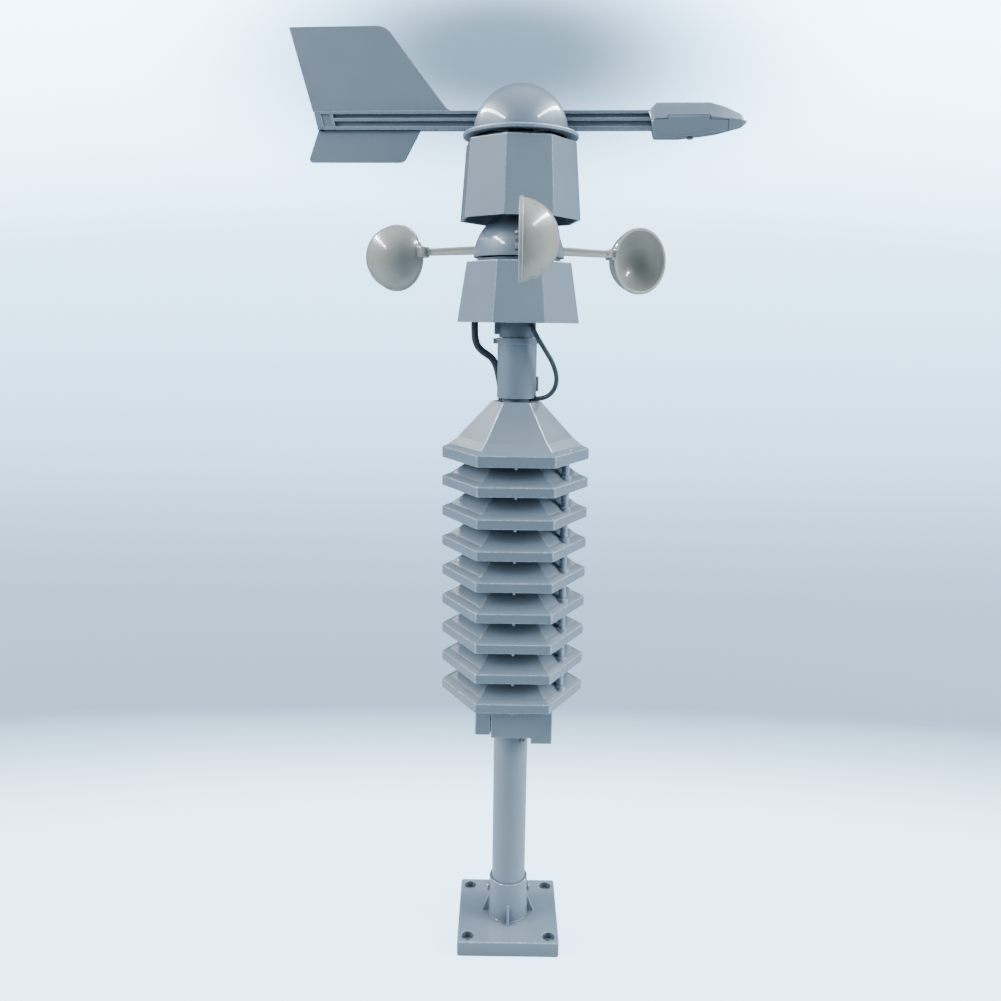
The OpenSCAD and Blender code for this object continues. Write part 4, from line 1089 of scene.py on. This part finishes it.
def nose_boom():
    outline = rectangle(BOOM_INNER_X, BOOM_Z0, NOSE_BOOM_END_X, BOOM_TOP, 0.3)
    solids = boom_rails(outline, BOOM_INNER_X, NOSE_BOOM_END_X, BOOM_INNER_X)
    solids.append(slab(rectangle(84, BOOM_Z0, NOSE_BOOM_END_X, BOOM_TOP, 0.3), BOOM_W, 0.4))
    make_piece("nose_boom", upright(solids))


NOSE_WALL = 1.6
# Widths of the nose's section above and below, as shares of its width at the seam
NOSE_TOP_SHARE = 0.5
NOSE_BOTTOM_SHARE = 0.84
NOSE_KNEE_SHARE = 0.54
# The seam between the nose's shells steps up between two places, and shows as a groove
SEAM_LOW = 584.2
SEAM_HIGH = 586.5
SEAM_STEP_X0 = 92.6
SEAM_STEP_X1 = 119.5
SEAM_END_X = 131.2
SEAM_GAP = 0.36
NOSE_SCREW_X = 108
NOSE_STATIONS = (
    # lower edge x and z, upper edge x and z, half width
    (85.0, 573.8, 80.8, 590.2, 6.6),
    (86.4, 573.8, 85.7, 594.8, 7.4),
    (92.0, 573.8, 92.0, 594.8, 7.5),
    (101.0, 573.8, 101.0, 594.8, 7.5),
    (118.0, 575.8, 119.0, 594.8, 7.5),
    (125.5, 576.8, 129.0, 592.3, 6.3),
    (139.6, 580.2, 138.5, 588.4, 3.9),
    (142.4, 582.3, 142.2, 585.2, 2.4),
)


def nose_ring(station, inward):
    """Cross-section, widest at the seam and narrower above and below it."""
    x0, z0, x1, z1, half = station
    z0 += inward
    z1 -= inward
    half -= inward
    corner = max(0.2, min(1.6, half * 0.4, (z1 - z0) * 0.3))
    knee = z0 + (z1 - z0) * NOSE_KNEE_SHARE
    bottom_half = half * NOSE_BOTTOM_SHARE
    top_half = half * NOSE_TOP_SHARE
    outline = fillet([(-bottom_half, z0, corner), (bottom_half, z0, corner), (half, knee, corner),
                      (top_half, z1, corner), (-top_half, z1, corner), (-half, knee, corner)])
    return [Vector((x0 + (x1 - x0) * (p.y - z0) / (z1 - z0), p.x, p.y)) for p in outline]


def nose_body(inward):
    """The whole nose through its stations, or its hollow, which ends short of the tip."""
    rings = [nose_ring(station, inward) for station in NOSE_STATIONS]
    first = [p + Vector((0.5, 0, 0)) for p in rings[0]]
    back = nose_ring(NOSE_STATIONS[0], inward + 0.5)
    if inward:
        return loft([back, first] + rings[1:])
    tip = [p + Vector((0.6, 0, 0)) for p in nose_ring(NOSE_STATIONS[-1], 1.1)]
    return loft([back, first] + rings[1:] + [tip])


def seam(gap):
    """The stepped seam from the front to behind the nose, moved down and in by gap."""
    end_x = SEAM_END_X - gap
    low_z = SEAM_LOW - gap
    high_z = SEAM_HIGH - gap
    step_x0 = SEAM_STEP_X0 + gap
    step_x1 = SEAM_STEP_X1 - gap
    return [(end_x, 560, 0), (end_x, low_z, 0.4), (step_x1, low_z, 0.5), (step_x1, high_z, 0.6),
            (step_x0, high_z, 0.6), (step_x0, low_z, 0.5), (60, low_z, 0)]


def nose():
    body = nose_body(0)
    hollow = nose_body(NOSE_WALL)
    slot = brick((75, -BOOM_W / 2 - 0.15, BOOM_Z0 - 0.15), (98, BOOM_W / 2 + 0.15, BOOM_TOP + 0.15), 0.2)
    screw_hole = placed(hole(1.3, 0, 6, 0.2), turned(180, "X"), shift(NOSE_SCREW_X, 0, 578))
    below = fillet([(60, 560, 0)] + seam(0))
    above = fillet([(60, 620, 0), (160, 620, 0), (160, 560, 0)] + seam(SEAM_GAP))
    upper = carve(body, placed(slab(below, 60, 0.1), UPRIGHT), hollow, slot)
    lower = carve(body, placed(slab(above, 60, 0.1), UPRIGHT), hollow, slot, screw_hole)
    screw = placed(pan_screw(2.5, 6, 4.2, 0.8), turned(180, "X"), shift(NOSE_SCREW_X, 0, 574))
    for node, solid in (("nose_upper_shell", upper), ("nose_lower_shell", lower), ("nose_screw", screw)):
        make_piece(node, [placed(solid, turned(VANE_TURN))])


# ---- stage, lights and camera

# From here on, lengths are in metres
STAGE_HALF_W = 6.0
STAGE_FRONT_Y = -4.0
STAGE_BACK_Y = 2.6
STAGE_H = 5.0
STAGE_BEND_R = 1.1
STAGE_BEND_STEPS = 24
# Brightness of the stage's glow by distance from the origin, as a share of STAGE_REACH: painted light, a
# bright pool round the object's foot, a darker ring, and brighter further off
STAGE_REACH = 3.0
STAGE_TONES = ((0.0, 1.0), (0.055, 0.94), (0.075, 0.75), (0.1, 0.4), (0.13, 0.19), (0.28, 0.24), (0.53, 0.42),
               (0.75, 0.68), (0.89, 1.0), (1.0, 2.4))
STAGE_TINT = (0.41, 0.70, 1.0)
STAGE_GLOW = 5.0
# Distances across count for less than distances in depth and height
ACROSS_SHARE = 0.3
# Painted shade: a soft dark patch on the backdrop behind the vane, wider than it is high
PATCH_FLATNESS = 2.4
PATCH_PLACE = (-0.02, STAGE_BACK_Y, 3.25)
PATCH_FROM = 0.1
PATCH_TO = 1.45
PATCH_TONE = 0.05
# Painted light: the paper's colour is paler under the object, as a pool of light, and darker further off
PAPER_LIT_POOL = (0.60, 0.67, 0.72)
PAPER_BEYOND_POOL = (0.16, 0.20, 0.24)
PAPER_NEAR_TO = 0.18
PAPER_FAR_FROM = 0.4


def distance_to(tree, scale, centre):
    """Distance to a centre, with place and centre both in scaled coordinates."""
    node = tree.nodes.new("ShaderNodeVectorMath")
    node.operation = "DISTANCE"
    node.inputs[1].default_value = centre
    tree.links.new(scaled_place(tree, scale), node.inputs[0])
    return node.outputs["Value"]


def tone_by_distance(tree, distance):
    """The stage's tones, as shares of the brightest one, which is the last."""
    ramp = tree.nodes.new("ShaderNodeValToRGB")
    stops = ramp.color_ramp.elements
    for position, tone in STAGE_TONES[1:-1]:
        stops.new(position)
    for stop, (position, tone) in zip(stops, STAGE_TONES):
        stop.color = (*[tone / STAGE_TONES[-1][1]] * 3, 1)
    tree.links.new(spread(tree, distance, 0.0, STAGE_REACH, 0, 1), ramp.inputs["Fac"])
    return ramp.outputs["Color"]


def stage_paper():
    """Paper that glows for the camera only, so that the glow does not light the object; the glow is painted
    light, a pool of light round the object with painted shade behind the vane.
    """
    material, tree, shader = new_material("stage_paper")
    distance = distance_to(tree, (ACROSS_SHARE, 1, 1), (0, 0, 0))
    # Painted shade behind the vane, darkest at its middle
    shade_patch_distance = distance_to(tree, (1, 1, PATCH_FLATNESS), PATCH_PLACE)
    shade_patch = spread(tree, shade_patch_distance, PATCH_FROM, PATCH_TO, PATCH_TONE, 1, "SMOOTHERSTEP")
    # Painted light: the glow follows the tones by distance and the painted shade patch
    glow = tree.nodes.new("ShaderNodeLightPath").outputs["Is Camera Ray"]
    for factor in (tone_by_distance(tree, distance), shade_patch, STAGE_GLOW * STAGE_TONES[-1][1]):
        glow = product(tree, glow, factor)
    tree.links.new(glow, shader.inputs["Emission Strength"])
    set_inputs(shader, {"Emission Color": (*STAGE_TINT, 1), "Roughness": 0.8, "Specular IOR Level": 0.2})
    # Painted light: paler paper near the object
    out_of_pool = spread(tree, distance, PAPER_NEAR_TO, PAPER_FAR_FROM, 0, 1)
    tree.links.new(mixed(tree, out_of_pool, PAPER_LIT_POOL, PAPER_BEYOND_POOL), shader.inputs["Base Color"])
    return material


def stage():
    """Floor that curves up into a backdrop."""
    profile = [(STAGE_FRONT_Y, 0.0), (0.2, 0.0)]
    bend = arc(STAGE_BACK_Y - STAGE_BEND_R, STAGE_BEND_R, STAGE_BEND_R, -90, 0, STAGE_BEND_STEPS)
    profile += [(p.x, p.y) for p in bend]
    profile.append((STAGE_BACK_Y, STAGE_H))
    verts = [(x, y, z) for y, z in profile for x in (-STAGE_HALF_W, STAGE_HALF_W)]
    faces = [(2 * i, 2 * i + 1, 2 * i + 3, 2 * i + 2) for i in range(len(profile) - 1)]
    mesh = bpy.data.meshes.new("stage")
    mesh.from_pydata(verts, [], faces)
    mesh.polygons.foreach_set("use_smooth", [True] * len(faces))
    mesh.materials.append(stage_paper())
    add_object("stage", mesh)


LIGHT_COLOUR = (0.93, 0.97, 1.0)
WORLD_COLOUR = (0.90, 0.92, 0.92)
WORLD_STRENGTH = 0.1
OBJECT_MIDDLE = (0, 0, 0.42)
# Strip lights are seen in reflections only: name, place
STRIPS = (
    ("strip_left", (-1.35, 0, 1.65)),
    ("strip_right", (1.35, 0, 1.8)),
)
STRIP_TARGET = (0, 0, 0.5)
STRIP_LEN = 3.0
STRIP_W = 0.15
STRIP_POWER = 110
# Soft boxes are not seen in reflections: name, place, target, width, height, power
SOFT_BOXES = (
    ("key_right", (1.85, -0.4, 1.1), OBJECT_MIDDLE, 1.1, 1.2, 56),
    ("key_left", (-1.8, -0.52, 1.15), OBJECT_MIDDLE, 1.0, 1.1, 44),
    ("overhead", (0.1, 0.1, 2.4), OBJECT_MIDDLE, 1.4, 1.4, 36),
    ("front", (0.1, -1.3, 2.3), OBJECT_MIDDLE, 1.4, 0.8, 4),
    ("backdrop", (0, 0.6, 2.6), (0, STAGE_BACK_Y, 0.7), 3.0, 0.8, 30),
)


def area_light(name, place, target, width, height, power):
    light = bpy.data.lights.new(name, "AREA")
    light.shape = "RECTANGLE"
    light.size = width
    light.size_y = height
    light.energy = power
    light.color = LIGHT_COLOUR
    lamp = add_object(name, light)
    lamp.location = place
    lamp.rotation_euler = (Vector(target) - Vector(place)).to_track_quat("-Z", "Y").to_euler()
    return lamp


def lights():
    world = bpy.data.worlds.new("studio")
    world.use_nodes = True
    set_inputs(world.node_tree.nodes["Background"], {"Color": (*WORLD_COLOUR, 1), "Strength": WORLD_STRENGTH})
    bpy.context.scene.world = world
    for name, place in STRIPS:
        strip = area_light(name, place, STRIP_TARGET, STRIP_LEN, STRIP_W, STRIP_POWER)
        strip.visible_diffuse = False
    for name, place, target, width, height, power in SOFT_BOXES:
        box = area_light(name, place, target, width, height, power)
        box.visible_glossy = False


# Place in metres, lens in millimetres, angles in degrees
CAMERA_PLACE = (-0.0093, -0.6018, 0.4564)
CAMERA_LENS = 31.49
CAMERA_YAW = -0.06
CAMERA_PITCH = 11.43
CAMERA_ROLL = -0.79


def camera():
    data = bpy.data.cameras.new("camera")
    data.lens = CAMERA_LENS
    data.sensor_width = 36
    data.clip_start = 0.01
    data.clip_end = 50
    viewer = add_object("camera", data)
    aim = turned(-CAMERA_YAW) @ turned(90 - CAMERA_PITCH, "X") @ turned(-CAMERA_ROLL)
    viewer.matrix_world = Matrix.Translation(CAMERA_PLACE) @ aim
    bpy.context.scene.camera = viewer


# ---- build

def finish_inner_parts():
    """Parts without a visible piece are shown as they are in CAD, with a material."""
    for name, node in frame["nodes"].items():
        if not node.hide_render:
            node.data.materials[0] = MATERIALS[SLOT_OF[name]]


camera()
leads()
foot()
pole()
transmitter()
transmitter_lid()
battery_door()
louvres()
shield_cap()
rods()
mast_post()
sensor_neck()
speed_housing()
rotor_dome()
cups()
vane_housing()
vane_hub()
tail_boom()
tail_fins()
nose_boom()
nose()
finish_inner_parts()
stage()
lights()
